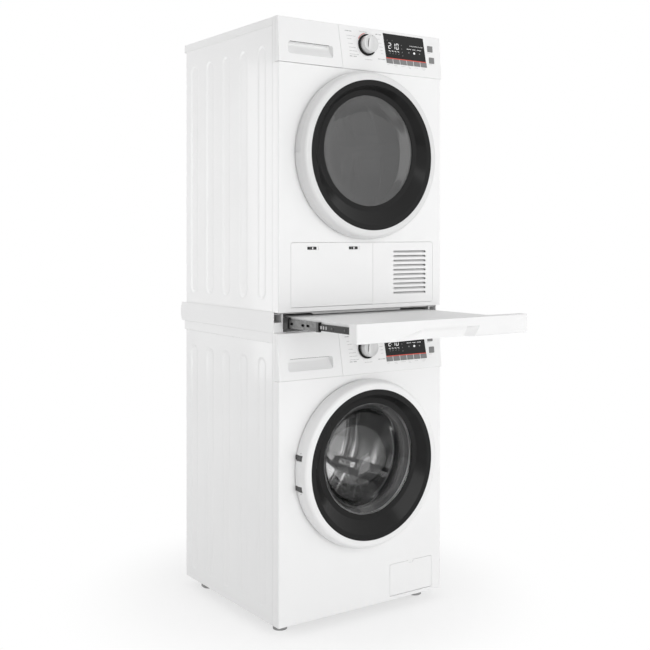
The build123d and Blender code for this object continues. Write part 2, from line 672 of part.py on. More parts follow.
# ---- drawers --------------------------------------------------------------------------------
def grip_cut(machine):
    """Finger scoop: deepest under its upper edge, running out at its lower edge."""
    width = GRIP_X[1] - GRIP_X[0]
    v0, v1 = GRIP_V
    middle = Pos((GRIP_X[0] + GRIP_X[1]) / 2, (v0 + v1) / 2)
    mouth = machine.face.offset(1) * (middle * RectangleRounded(width, v1 - v0, GRIP_R))
    pocket = extrude(mouth, -GRIP_D - 1, taper=GRIP_DRAFT)
    side = Plane(origin=machine.face.origin, x_dir=machine.face.y_dir, z_dir=(1, 0, 0))
    low, high = (v0 - 6, 5.0), (v1 + 1, -GRIP_D)
    ramp = make_face([
        Line(low, (v1 + 1, 5.0)),
        Line((v1 + 1, 5.0), high),
        Line(high, (v1 - 10, -GRIP_D)),
        ThreePointArc((v1 - 10, -GRIP_D), (v0 + 9, -GRIP_D * 0.45), (v0, 0.0)),
        Line((v0, 0.0), low),
    ])
    return pocket & extrude(side * ramp, 2 * HALF, both=True)


def drawer_front(machine):
    front = fascia_body(machine) & drawer_zone(machine, DRAWER_SEAT, -SEAM / 2)
    front -= block((-WIDTH, WIDTH), (-30, 60), (machine.fascia_z - 5, machine.fascia_z + SEAM))
    front -= grip_cut(machine)
    edge = machine.fascia_z + GRIP_V[1]
    x = (GRIP_X[0] + UNDERCUT_INSET, GRIP_X[1] - UNDERCUT_INSET)
    return front - block(x, GRIP_SLOT_Y, (edge - GRIP_SLOT_H, edge + GRIP_UNDERCUT))


def washer_drawer():
    """Detergent drawer with three compartments."""
    m = WASHER
    y = (DRAWER_SEAT, DRAWER_SEAT + TRAY_LEN)
    tray = tray_hole(m, TRAY_Z, y, 0)
    split_x = TRAY_X[0] + PREWASH_W
    split_y = y[0] + SOFTENER_L
    z = (m.fascia_z + TRAY_Z[0] + WALL, m.fascia_z + TRAY_Z[1] + 1)
    tray -= block((TRAY_X[0] + WALL, split_x - WALL / 2), (y[0] + WALL, y[1] - WALL), z)
    tray -= block((split_x + WALL / 2, TRAY_X[1] - WALL), (y[0] + WALL, split_y - WALL / 2), z)
    tray -= block((split_x + WALL / 2, TRAY_X[1] - WALL), (split_y + WALL / 2, y[1] - WALL), z)
    return drawer_front(m) + tray


def washer_drawer_housing():
    m = WASHER
    y = (DRAWER_SEAT + SEAM + WALL + GAP, DRAWER_SEAT + TRAY_LEN + 12)
    shell = tray_hole(m, TRAY_Z, y, TRAY_GAP + WALL)
    shell -= tray_hole(m, TRAY_Z, (y[0] - 1, y[1] - WALL), TRAY_GAP)
    for runner in tray_runners(m, TRAY_Z, y):
        shell += runner
    # hose neck to the tub
    floor = m.fascia_z + TRAY_Z[0] - TRAY_GAP
    return shell + Pos(NECK_X, y[1] - NECK_FRONT, floor - WALL + 1 - NECK_H / 2) * Cylinder(NECK_R, NECK_H)


def tray_runners(machine, z_limits, y):
    """Two rails that a tray or tank slides on."""
    seat = machine.fascia_z + z_limits[0]
    for x in (TRAY_X[0] + RUNNER_INSET, TRAY_X[1] - RUNNER_INSET):
        yield block(about(x, RUNNER_W), y, (seat - TRAY_GAP - WALL / 4, seat - GAP))


def dryer_water_tank():
    """Condensate tank: closed on all sides but for its pouring hole, on the drawer's front."""
    m = DRYER
    y = (DRAWER_SEAT, DRAWER_SEAT + TANK_LEN)
    tank = tray_hole(m, TANK_Z, y, 0)
    z = (m.fascia_z + TANK_Z[0] + WALL, m.fascia_z + TANK_Z[1] - WALL)
    tank -= block((TRAY_X[0] + WALL, TRAY_X[1] - WALL), (y[0] + WALL, y[1] - WALL), z)
    pour_y = (y[1] - POUR_BACK[1], y[1] - POUR_BACK[0])
    pour = block((TRAY_X[0] + POUR_INSET, TRAY_X[1] - POUR_INSET), pour_y, (z[1] - 1, z[1] + WALL + 1))
    return drawer_front(m) + (tank - pour)


def dryer_fascia():
    """The dryer's control panel carries the tank's sleeve."""
    m = DRYER
    seat = DRAWER_SEAT + SEAM
    y = (seat + WALL / 2, seat + SLEEVE_L)
    sleeve = tray_hole(m, TANK_Z, y, TRAY_GAP + WALL) - tray_hole(m, TANK_Z, (y[0] - 5, y[1] + 5), TRAY_GAP)
    body = fascia(m, TANK_Z) + sleeve
    for runner in tray_runners(m, TANK_Z, (seat, y[1])):
        body += runner
    return body


# ---- doors ----------------------------------------------------------------------------------
def ring_profile(inset):
    """Half section of the white ring, as a face in the XY plane; inset gives its hollow."""
    r0, r1, d = DOOR_R - inset, DOOR_CREST_R, DOOR_D - inset
    back = -DOOR_OFF - inset
    shoulder = (r0 + DOOR_BULGE, -0.5 * DOOR_D)
    turn = (r0 - 2.0, -0.82 * DOOR_D)
    crest = (r0 - DOOR_CREST, -d)
    corner = (r0 - 0.47 * DOOR_CREST, -d + 1.9)
    return make_face([
        Line((r1, back), (r0, back)),
        ThreePointArc((r0, back), shoulder, turn),
        ThreePointArc(turn, corner, crest),
        Line(crest, (r1, -d)),
        Line((r1, -d), (r1, back)),
    ])


def hinge_line(machine):
    return machine.hinge * HINGE_X, HINGE_Y


def arm_heights(machine):
    return machine.door_z - HINGE_PITCH / 2, machine.door_z + HINGE_PITCH / 2


def finger_facet(machine, shift):
    """What the finger facet takes off the ring's flank: a crescent that runs out upwards."""
    free = -machine.hinge
    flank = DOOR_R + DOOR_BULGE
    rise = PULL_D / math.tan(math.radians(PULL_SPAN))
    y = (PULL_Y[0] - shift, PULL_Y[1] + shift)
    crescent = disc(flank + 9, y) - disc(flank - shift, (y[0] - 1, y[1] + 1), -free * PULL_D, rise)
    x = sorted((0, free * 2 * DOOR_R))
    return Pos(0, 0, machine.door_z) * (crescent & block(x, y, (-shift, DOOR_R)))


def door_ring(machine):
    """White moulded ring with its rear plate, hinge bosses and latch hook."""
    place = Pos(0, 0, machine.door_z)
    solid = revolve(ring_profile(0), Axis.Y)
    ring = place * (solid - revolve(ring_profile(DOOR_SKIN), Axis.Y))
    ring += finger_facet(machine, DOOR_SKIN) & (place * solid)
    ring -= finger_facet(machine, 0)
    inner = EYE_R + 4
    plate = disc(DOOR_CREST_R + 1, (-DOOR_OFF - DOOR_SKIN, -DOOR_OFF), 0, machine.door_z)
    ring += plate - disc(inner, (-30, 5), 0, machine.axis_z)
    # solid stock for the hinge pin inside the rim
    hx, hy = hinge_line(machine)
    length = PIN_L + 8
    stock = block(about(hx, STOCK_W), (hy - STOCK_W / 2 + 2, -DOOR_OFF), about(machine.door_z, length))
    ring += stock & (place * solid)
    ring -= Pos(hx, hy, machine.door_z) * Cylinder(PIN_R + RUNNING, length - 8)
    for z in arm_heights(machine):
        room = extrude(arm_sweep(machine.hinge), ARM_H + 2 * ARM_CLEAR)
        ring -= Pos(hx, hy, z - ARM_H / 2 - ARM_CLEAR) * room
    # latch hook on the free side
    x = -machine.hinge * HOOK_X
    hook = block(about(x, HOOK_T), (-DOOR_OFF - 1, HOOK_D), about(machine.door_z, HOOK_H))
    eye = block(about(x, HOOK_T + 2), (HOOK_D - 8, HOOK_D - 3), about(machine.door_z, HOOK_H - 12))
    return ring + (hook - eye)


def arm_sweep(side):
    """The room that a hinge arm needs in the rim while the door swings open."""
    reach = DOOR_D - 4
    turn = math.radians(ARM_SWING)
    end = (side * reach * math.sin(turn), reach * math.cos(turn))
    half = (side * reach * math.sin(turn / 2), reach * math.cos(turn / 2))
    pie = make_face([Line((0, 0), (0, reach)), ThreePointArc((0, reach), half, end), Line(end, (0, 0))])
    return offset(pie, amount=ARM_W / 2 + ARM_CLEAR, kind=Kind.ARC) + Circle(KNUCKLE_R + ARM_CLEAR)


def door_hinges():
    """Fixed halves of both door hinges: leaf, two arms and pin."""
    pieces = []
    for m in (WASHER, DRYER):
        hx, hy = hinge_line(m)
        leaf = block(about(hx, LEAF_W), (SHEET, SHEET + LEAF_T), about(m.door_z, PIN_L))
        part = leaf + Pos(hx, hy, m.door_z) * Cylinder(PIN_R, PIN_L)
        for z in arm_heights(m):
            part += block(about(hx, ARM_W), (hy, SHEET + 1), about(z, ARM_H))
            part += Pos(hx, hy, z) * Cylinder(KNUCKLE_R, ARM_H)
        pieces.append(part)
    return pieces


def door_trim(machine):
    """Black trim: flat outer band, then a slope to the raised, off-centre eye."""
    skin = DOOR_SKIN
    r = DOOR_CREST_R - GAP

    def slope(extra):
        outer = Plane(origin=(0, -DOOR_D + 1, 0), z_dir=(0, -1, 0)) * Circle(TRIM_R + extra)
        eye = Plane(origin=(0, EYE_Y, EYE_UP), z_dir=(0, -1, 0)) * Circle(EYE_R + extra)
        return loft([outer, eye])

    back = -DOOR_D + 1 + skin
    band = turned([(TRIM_R, -DOOR_D + 1), (r, -DOOR_D), (r, back), (TRIM_R, back)])
    cone = slope(skin) - slope(0)
    step = pipe(EYE_R + skin, EYE_R - STEP_W, (EYE_Y, EYE_Y + STEP_T), EYE_UP)
    sleeve = pipe(EYE_R + skin, EYE_R, (EYE_Y, -DOOR_OFF - GAP), EYE_UP)
    wall = pipe(r, r - skin, (-DOOR_D + 2, -DOOR_OFF - skin - GAP), 0)
    trim = band + cone + step + sleeve + wall
    return Pos(0, 0, machine.door_z) * trim


def washer_door_glass():
    """Clear bowl that reaches into the drum's mouth."""
    y0 = EYE_Y + STEP_T + GAP
    rim = EYE_R - GAP
    t = GLASS_T
    throat = EYE_R - STEP_W + 1
    r = BOWL_R
    outer = [(rim, y0), (rim, y0 + t), (throat, y0 + t), (r, 4), (r - 8, 30), (r - 34, 68),
             (r - 78, BOWL_D), (0, BOWL_D)]
    inner = [(0, BOWL_D - t), (r - 80, BOWL_D - t), (r - 37, 65), (r - 12, 28), (r - t, 4),
             (throat - t, y0)]
    return turned(outer + inner, 0, WASHER.axis_z)


def dryer_door_glass():
    """Tinted disc with a shallow inner plug."""
    y0 = EYE_Y + STEP_T + GAP
    rim = EYE_R - GAP
    t = GLASS_T
    throat = EYE_R - STEP_W + 1
    outer = [(rim, y0), (rim, y0 + t), (throat, y0 + t), (BOWL_R, 2), (BOWL_R - 6, 7), (0, 7)]
    inner = [(0, 7 - t), (BOWL_R - 8, 7 - t), (BOWL_R - t, 1), (throat - t, y0)]
    return turned(outer + inner, 0, DRYER.axis_z)


# ---- washer internals -----------------------------------------------------------------------
def washer_gasket():
    """Rubber bellows between the front panel's mouth and the tub, with a lip on the glass."""
    throat = EYE_R - STEP_W + 1
    start = EYE_Y + STEP_T + GAP + GLASS_T

    def glass(y):
        return throat + (BOWL_R - throat) * (y - start) / (4 - start) + 0.5

    r = MOUTH_R - GAP
    seat = TUB_Y[0] - GAP
    lip = [(152, -1), (glass(-4), -4), (glass(2), 2), (glass(2) + 3, 6), (158, 8)]
    inner_folds = [(154, 22), (166, 28), (156, 40), (166, 47), (166, seat)]
    outer_folds = [(r - 2, seat), (r - 2, 44), (162, 38), (r - 2, 29), (r - 1, 20)]
    bead = [(162, 18), (162, 12), (r, 12), (r, 1), (160, 0)]
    return turned(lip + inner_folds + outer_folds + bead, 0, WASHER.axis_z)


def washer_tub():
    z = WASHER.axis_z
    shell = disc(TUB_R, TUB_Y, 0, z)
    shell -= disc(TUB_R - TUB_T, (TUB_Y[0] + TUB_T, TUB_Y[1] - TUB_T), 0, z)
    shell -= disc(MOUTH_R - 10, (TUB_Y[0] - 1, TUB_Y[0] + TUB_T + 1), 0, z)
    shell += disc(TUB_BEARING_R, (TUB_Y[1] - TUB_T, TUB_Y[1] + TUB_BEARING_L), 0, z)
    shell -= disc(SHAFT_R + RUNNING, (TUB_Y[1] - 40, TUB_Y[1] + TUB_BEARING_L + 1), 0, z)
    # lugs for the two springs
    for side in (-1, 1):
        lug_z = spring_foot() - SPRING_LUG / 2
        x = about(side * SPRING_X, SPRING_LUG)
        lug = block(x, about(SPRING_Y, 16), (lug_z - SPRING_LUG / 2 - 4, lug_z + SPRING_LUG / 2))
        shell += lug - disc(TUB_R - TUB_T / 2, TUB_Y, 0, z)
    return shell


def spring_foot():
    """Height of the lugs' upper faces on the tub."""
    return WASHER.axis_z + math.sqrt(TUB_R ** 2 - SPRING_X ** 2) + SPRING_LUG / 2


def washer_drum():
    z = WASHER.axis_z
    y0, y1 = DRUM_Y
    r, t = DRUM_R, DRUM_T
    lip = DRUM_LIP_R
    mouth = [(lip, y0), (lip, y0 - 6), (lip + t, y0 - 6), (lip + 2, y0)]
    shell = turned(mouth + drum_wall(r, t, y0, y1, 6) + [(lip, y0 + t)])
    for i in range(3):
        shell += Rot(0, 60 + 120 * i, 0) * lifter(r - t / 2, (y0 + 25, y1 - 25), LIFTER)
    # three-armed spider and shaft behind the drum
    shell += disc(SPIDER_R, (y1 - t, y1 + SPIDER_L))
    for i in range(3):
        arm = block(about(0, SPIDER_W), (y1 - t, y1 + SPIDER_L - 5), (0, r - 14))
        shell += Rot(0, 120 * i, 0) * arm
    shell += disc(SHAFT_R, (y1, PULLEY_Y + PULLEY_W - 2))
    return Pos(0, 0, z) * shell


def drum_wall(r, t, y0, y1, bevel):
    """Outline of a drum's outer face and inner face, from the front wall round the rear wall."""
    b = bevel + t / 2
    outer = [(r - bevel, y0), (r, y0 + bevel), (r, y1 - bevel), (r - bevel, y1), (0, y1)]
    return outer + [(0, y1 - t), (r - b, y1 - t), (r - t, y1 - b), (r - t, y0 + b), (r - b, y0 + t)]


def lifter(r, y, size):
    """A lifter of (foot width, top width, height), which stands on the drum's lowest line."""
    foot, top, height = size
    base = Polyline((-foot / 2, 0), (-top / 2, height), (top / 2, height), (foot / 2, 0), close=True)
    bar = Pos(0, y[0], -r) * extrude(Plane.XZ * make_face(base), -(y[1] - y[0]))
    return bar & disc(r, y)


def washer_drum_pulley():
    z = WASHER.axis_z
    y = (PULLEY_Y, PULLEY_Y + PULLEY_W)
    wheel = pipe(PULLEY_R, PULLEY_R - PULLEY_RIM, y, z) + disc(PULLEY_HUB_R, y, 0, z)
    for i in range(SPOKES):
        spoke = block(about(0, SPOKE_W), (y[0] + 4, y[1] - 4), (PULLEY_HUB_R - 4, PULLEY_R - PULLEY_RIM + 2))
        wheel += Pos(0, 0, z) * Rot(0, 360 / SPOKES * i, 0) * spoke
    return wheel - disc(SHAFT_R, (y[0] - 1, y[1] - 2), 0, z)


def belt(big, big_at, small, small_at, y, width):
    """An open belt round two pulleys."""
    def hull(extra):
        rims = Pos(*big_at) * Circle(big + extra) + Pos(*small_at) * Circle(small + extra)
        return make_hull(rims.edges())
    loop = hull(GAP + BELT_T) - hull(GAP)
    return Pos(0, y, 0) * extrude(Plane.XZ * loop, -width)


def motor_place():
    return MOTOR_AT[0], WASHER.z0 + MOTOR_AT[1]


def washer_motor_pulley():
    x, z = motor_place()
    y = (PULLEY_Y, PULLEY_Y + PULLEY_W)
    return disc(SPINDLE_R, y, x, z) + disc(MOTOR_SHAFT_R, (y[0] - 30, y[0] + 1), x, z)


def motor(x, z, floor, radius, y):
    """A motor's can with end ribs on a saddle that stands on the floor pan."""
    body = disc(radius, y, x, z)
    height, width = MOTOR_RIB
    for i in range(3):
        rib = y[0] + 20 + i * (y[1] - y[0] - 40) / 2
        body += disc(radius + height, about(rib, width), x, z)
    return body + block(about(x, radius * 1.6), (y[0] + 10, y[1] - 10), (floor, z - radius * 0.5))


def drive_motors():
    x, z = motor_place()
    rear = PULLEY_Y - MOTOR_OFF
    washer = motor(x, z, WASHER.z0 + SHEET + GAP, MOTOR_R, (rear - MOTOR_L, rear))
    washer -= disc(MOTOR_SHAFT_R + RUNNING, (rear - 24, rear + 1), x, z)
    x, z = bin_motor_place()
    rear = BIN_BELT_Y - MOTOR_OFF
    dryer = motor(x, z, DRYER.z0 + SHEET + GAP, BIN_MOTOR_R, (rear - BIN_MOTOR_L, rear))
    dryer += disc(BIN_SPINDLE_R, (rear - 1, BIN_BELT_Y + BELT_W + 2), x, z)
    return [washer, dryer]


def drive_belts():
    washer = belt(PULLEY_R, (0, WASHER.axis_z), SPINDLE_R, motor_place(), PULLEY_Y + 2, BELT_W)
    dryer = belt(BIN_R, (0, DRYER.axis_z), BIN_SPINDLE_R, bin_motor_place(), BIN_BELT_Y, BELT_W)
    return [washer, dryer]


def washer_tub_mounting():
    """Springs that hang the tub, struts that damp it, and its concrete weights."""
    m = WASHER
    z = m.axis_z
    tub = disc(TUB_R + GAP, TUB_Y, 0, z)
    pieces = []
    for side in (-1, 1):
        low = spring_foot() + GAP
        high = m.side_top - GAP - SHEET - GAP
        pitch = (high - low - 12) / SPRING_COILS
        outline = [(0, low), (4, low), (4, low + 6)]
        for i in range(SPRING_COILS):
            outline += [(9, low + 6 + (i + 0.25) * pitch), (7, low + 6 + (i + 0.75) * pitch)]
        outline += [(4, high - 6), (4, high), (0, high)]
        face = make_face(Polyline([(r, 0, h) for r, h in outline], close=True))
        pieces.append(Pos(side * SPRING_X, SPRING_Y, 0) * revolve(face, Axis.Z))
        base = m.z0 + SHEET + GAP
        strut = [Pos(side * STRUT_X, STRUT_Y, base + h / 2) * Cylinder(r, h) for r, h in STRUT]
        pieces.append(strut[0] + strut[1] - tub)
    pieces.append(block(WEIGHT_X, WEIGHT_Y, (z + 150, z + TUB_R + WEIGHT_UP)) - tub)
    ring = pipe(TUB_R - 4, MOUTH_R + 14, (RETURN + 4, TUB_Y[0] - GAP), z)
    pieces.append(ring & block(about(0, FRONT_WEIGHT_W), (0, 80), (z - TUB_R, z - 120)))
    return pieces


def washer_drain_pump():
    """Filter housing with its screw cap behind the lower flap, and the pump behind it."""
    m = WASHER
    x = (FLAP_X[0] + FLAP_X[1]) / 2
    z = m.z0 + (FLAP_Z[0] + FLAP_Z[1]) / 2
    body = block(about(x, CAP_GRIP[0]), (PUMP_Y[0], PUMP_Y[1] + 1), about(z, CAP_GRIP[1]))
    for front, rear, radius in zip(PUMP_Y[1:], PUMP_Y[2:], PUMP_R):
        body += disc(radius, (front, rear), x, z)
    return body + block(about(x, PUMP_FOOT_W), PUMP_FOOT_Y, (m.z0 + SHEET + GAP, z))


def hinge_bar(x, z0, radius):
    """A bar along X at a flap's hinge line, which runs inside the flap's rounded lower edge."""
    bar = extrude(Plane.YZ * Circle(radius), x[1] - x[0])
    return Pos(x[0], FLAP_T / 2, z0 + FLAP_T / 2) * bar


def hinged_flap(x, z, radius, rounded):
    """A flap whose lower edge is rounded about its hinge pins."""
    flap = hatch(x, z, (0, FLAP_T), radius, rounded)
    flap -= block((x[0] - 1, x[1] + 1), (-1, FLAP_T + 1), (z[0] - 1, z[0] + FLAP_T / 2))
    flap += hinge_bar(x, z[0], FLAP_T / 2)
    return flap + hinge_bar((x[0] - FLAP_PIN_L, x[1] + FLAP_PIN_L), z[0], FLAP_PIN_R)


def washer_filter_flap():
    m = WASHER
    z = (m.z0 + FLAP_Z[0], m.z0 + FLAP_Z[1])
    flap = hinged_flap(FLAP_X, z, FLAP_R, UPPER)
    # finger notch in the upper edge
    middle = (FLAP_X[0] + FLAP_X[1]) / 2
    return flap - panel(about(middle, NOTCH_W), (z[1] - NOTCH_H, z[1] + 10), (-1, 0.6 * FLAP_T), 2.5)


# ---- dryer internals ------------------------------------------------------------------------
def dryer_drum():
    z = DRYER.axis_z
    y0, y1 = BIN_Y
    r, t = BIN_R, DRUM_T
    shell = turned([(BIN_LIP_R, y0)] + drum_wall(r, t, y0, y1, 8) + [(BIN_LIP_R, y0 + t)])
    for i in range(3):
        shell += Rot(0, 20 + 120 * i, 0) * lifter(r - t / 2, (y0 + 30, y1 - 30), BIN_LIFTER)
    shell += disc(BIN_HUB_R, (y1 - t, y1 + 10)) + disc(SHAFT_R, (y1, DEPTH - 10))
    return Pos(0, 0, z) * shell


def bin_motor_place():
    return BIN_MOTOR_AT[0], DRYER.z0 + BIN_MOTOR_AT[1]


def dryer_bulkhead():
    """Moulded ring that closes the drum's front and holds the lint filter."""
    z = DRYER.axis_z
    y0, y1 = FILTER_Y - 4, BIN_Y[0] - GAP
    collar = DRYER_MOUTH_R - GAP
    mouth = collar - COLLAR_W
    rim = BIN_R + 6
    ring = turned([(mouth, 3), (collar, 3), (collar, y0), (rim, y0), (rim, y1), (mouth, y1)], 0, z)
    slot_y = about(FILTER_Y + FILTER_T / 2, FILTER_T + 2 * GAP)
    slot = block(about(0, FILTER_W + 2 * GAP), slot_y, (z - mouth - FILTER_H, z - 100))
    # it stops short of the control panel and the door latch
    ring -= block((-WIDTH, WIDTH), (0, 90), (DRYER.fascia_z - SEAM - SHEET - GAP, DRYER.z1 + 90))
    return ring - slot


def dryer_lint_filter():
    """Flat lint filter with open mesh windows and a pull tab."""
    z = DRYER.axis_z
    mouth = DRYER_MOUTH_R - GAP - COLLAR_W
    low = z - mouth - FILTER_H + GAP
    y = (FILTER_Y, FILTER_Y + FILTER_T)
    body = block((-FILTER_W / 2, FILTER_W / 2), y, (low, z - 100)) - disc(mouth, (0, 60), 0, z)
    body += block(about(0, TAB_W), (y[0], y[0] + 5), (z - mouth - 3, z - mouth - 3 + TAB_H))
    pitch = (FILTER_W - 2 * FILTER_FRAME + FILTER_BAR) / FILTER_WINDOWS
    for i in range(FILTER_WINDOWS):
        x = -FILTER_W / 2 + FILTER_FRAME + i * pitch
        window = (low + FILTER_FRAME, z - mouth - 14)
        body -= block((x, x + pitch - FILTER_BAR), (y[0] - 1, y[1] + 1), window)
    return body


def dryer_condenser_flap():
    z = (DRYER.z0 + LOWER_Z[0], DRYER.z0 + LOWER_Z[1])
    flap = hinged_flap((LOWER_X[0], LOWER_SPLIT - SEAM / 2), z, LOWER_R - 1, UPPER[:1])
    for x in LATCH_X:
        w, h = LATCH_SIZE
        zc = DRYER.z0 + LATCH_Z
        travel = (x - w / 2 - 1, x + w / 2 + 1 + LATCH_TRAVEL)
        flap -= panel(travel, about(zc, h + 2), (-1, 2), 1.5)
    return flap


def dryer_flap_latches():
    """Two slide latches in the flap's upper edge."""
    w, h = LATCH_SIZE
    z = DRYER.z0 + LATCH_Z
    pieces = []
    for x in LATCH_X:
        tab = panel(about(x, w), about(z, h), (0.4, 2 - GAP), 1.0)
        tab += block(about(x - w / 2 + 6, 4), (-1.0, 1), about(z, h - 2))
        pieces.append(tab)
    return pieces


def dryer_grille():
    """Fixed lower panel with the cooling-air slots."""
    z = (DRYER.z0 + LOWER_Z[0], DRYER.z0 + LOWER_Z[1])
    corners = ((True, True), (True, False))
    plate = hatch((LOWER_SPLIT + SEAM / 2, LOWER_X[1]), z, (0, FLAP_T), LOWER_R - 1, corners)
    pins = (LOWER_SPLIT - 1, LOWER_SPLIT + FLAP_PIN_L + GAP)
    plate -= hinge_bar(pins, z[0], FLAP_PIN_R + RUNNING)
    pitch = (SLOT_Z[1] - SLOT_Z[0]) / SLOT_COUNT
    for i in range(SLOT_COUNT):
        zc = DRYER.z0 + SLOT_Z[0] + (i + 0.5) * pitch
        plate -= panel(SLOT_X, about(zc, SLOT_H), (-1, FLAP_T + 1), SLOT_H / 2 - 0.3)
    return plate


# ---- feet -----------------------------------------------------------------------------------
def levelling_feet():
    feet = []
    for x, y in foot_places(WASHER):
        pad = Pos(x, y, FOOT_PAD_H / 2) * Cylinder(FOOT_R, FOOT_PAD_H)
        cone = Pos(x, y, FOOT_PAD_H + 3) * Cone(FOOT_R - 2, NUT_R, 6)
        nut = extrude(Pos(x, y, FOOT_H - NUT_DOWN) * RegularPolygon(NUT_R, 6), NUT_H)
        stem = Pos(x, y, FOOT_H - 3) * Cylinder(FOOT_STEM_R, FOOT_STEM_L)
        feet.append(pad + cone + nut + stem)
    for x, y in foot_places(DRYER):
        pad = Pos(x, y, DRYER_Z - PAD_H / 2 - GAP / 2) * Cylinder(FOOT_R, PAD_H - GAP)
        stem = Pos(x, y, DRYER_Z + 8) * Cylinder(FOOT_STEM_R, 22)
        feet.append(pad + stem)
    return feet


# ---- stacking kit and shelf -----------------------------------------------------------------
def mirrored(piece):
    return [piece, mirror(piece, Plane.YZ)]


def channel(web_x, lip_x, height, y):
    """A C section that opens inwards, on the right-hand side of the kit."""
    zc = KIT_Z + SLIDE_Z
    section = block((lip_x, web_x), y, about(zc, height))
    hollow = block((lip_x - 1, web_x - SLIDE_T), (y[0] - 1, y[1] + 1), about(zc, height - 2 * SLIDE_T))
    return section - hollow


def kit_side():
    """Right-hand wall of the kit, which reaches past the dryer's bottom; its rear end bulges."""
    y0, y1 = KIT_Y
    low, high = KIT_Z, DRYER_Z + KIT_LIP
    outline = make_face([
        Line((y1 - KIT_BULGE, low), (y0, low)),
        Line((y0, low), (y0, high)),
        Line((y0, high), (y1 - KIT_BULGE, high)),
        ThreePointArc((y1 - KIT_BULGE, high), (y1, (low + high) / 2), (y1 - KIT_BULGE, low)),
    ])
    return Pos(KIT_W / 2 - KIT_SHEET, 0, 0) * extrude(Plane.YZ * outline, KIT_SHEET)


def kit_frame():
    """Folded frame between the machines: tray, side walls, slide brackets and upper deck."""
    y0, y1 = KIT_Y[0], KIT_Y[1] - KIT_BULGE
    z0, z1 = KIT_Z, KIT_Z + KIT_H
    t = KIT_SHEET
    width = about(0, KIT_W)
    frame = block(width, (y0, y1), (z0, z0 + t))
    frame += block(width, (y0 + DECK_SET, y1), (z1 - t, z1))
    frame += block(width, (y1 - t, y1), (z0, z1))
    # the deck's front edge is folded down between the slides, with slanted ends
    x, foot = CROSSBAR_X, CROSSBAR_X - CROSSBAR_END
    lip = Polygon((-x, z1), (-foot, z1 - CROSSBAR_H), (foot, z1 - CROSSBAR_H), (x, z1), align=None)
    frame += Pos(0, y0 + DECK_SET, 0) * extrude(Plane.XZ * lip, -t)
    side = kit_side()
    bracket = (SLIDE_X + GAP, SLIDE_X + GAP + t)
    side += block((bracket[0], POST_X), (y0, y0 + t), (z0, z1))
    side += block(bracket, (y0, y1 - t), (z0, z1))
    # corner cap beside the slide
    cap = (POST_X, KIT_W / 2)
    side += block(cap, (y0, y0 + t), (z0, z0 + CAP_H))
    side += block(cap, (y0, y0 + CAP_D), (z0 + CAP_H - t, z0 + CAP_H))
    return frame + side + mirror(side, Plane.YZ)


def slide_fixed():
    return mirrored(channel(SLIDE_X, SLIDE_X - 10, SLIDE_H, (0, SLIDE_LEN)))


def ball_cages(x, y, clear, height):
    """Strips of balls between a moving member and the one outside it, above and below."""
    zc = KIT_Z + SLIDE_Z
    for low, high in ((-clear, -height / 2), (height / 2, clear)):
        yield block(x, y, (zc + low, zc + high))


def slide_middle():
    x = SLIDE_X - SLIDE_T - 2.5
    y = (-MIDDLE_OUT, -MIDDLE_OUT + SLIDE_LEN - 10)
    member = channel(x, x - 7.5, MIDDLE_H, y)
    for place in MIDDLE_SLOTS:
        slot = panel_across(about(place, MIDDLE_SLOT[0]), about(KIT_Z + SLIDE_Z, MIDDLE_SLOT[1]))
        member -= Pos(x - SLIDE_T - 1, 0, 0) * slot
    for cage in ball_cages((x - 5, x), (12, 12 + CAGE_LEN), SLIDE_H / 2 - SLIDE_T - GAP, MIDDLE_H):
        member += cage
    return mirrored(member)


def panel_across(y, z):
    """A slot cutter with round ends, which runs along X through a slide's web."""
    slot = SlotOverall(y[1] - y[0], z[1] - z[0])
    middle = Pos(0, (y[0] + y[1]) / 2, (z[0] + z[1]) / 2)
    return middle * extrude(Plane.YZ * slot, SLIDE_T + 2)


def slide_inner():
    x = SLIDE_X - 2 * SLIDE_T - 5.0
    y = (-SHELF_OUT, -SHELF_OUT + SHELF_LEN)
    member = channel(x, SHELF_W / 2 + GAP, INNER_H, y)
    run = (-MIDDLE_OUT + 12, -MIDDLE_OUT + 12 + CAGE_LEN)
    for cage in ball_cages((x - 3.5, x), run, MIDDLE_H / 2 - SLIDE_T - GAP, INNER_H):
        member += cage
    return mirrored(member)


def shelf_board():
    z = (KIT_Z + SHELF_Z[0], KIT_Z + SHELF_Z[1])
    y = (-SHELF_OUT + GAP, -SHELF_OUT + SHELF_LEN)
    board = block(about(0, SHELF_W), y, z)
    for side in (-1, 1):
        lip = sorted((side * (SHELF_W / 2 - BOARD_LIP), side * SHELF_W / 2))
        board += block(lip, y, (KIT_Z + SLIDE_Z - INNER_H / 2, z[0] + 1))
    return board


def scoop(extra):
    """The finger scoop's form in the shelf front; extra makes it larger, for its backing."""
    z0 = KIT_Z + FRONT_Z[0]
    edge, floor = (
        Polygon((low_left - extra, z0 - 1), (high_left - extra, z0 + height + extra),
                (high_right + extra, z0 + height + extra), (low_right + extra, z0 - 1), align=None)
        for (low_left, high_left, high_right, low_right), height in zip((SCOOP_EDGE, SCOOP_FLOOR), SCOOP_H))
    depth = SHELF_FRONT_Y + SCOOP_D + extra
    return loft([Plane.XZ.offset(-SHELF_FRONT_Y) * edge, Plane.XZ.offset(-depth) * floor])


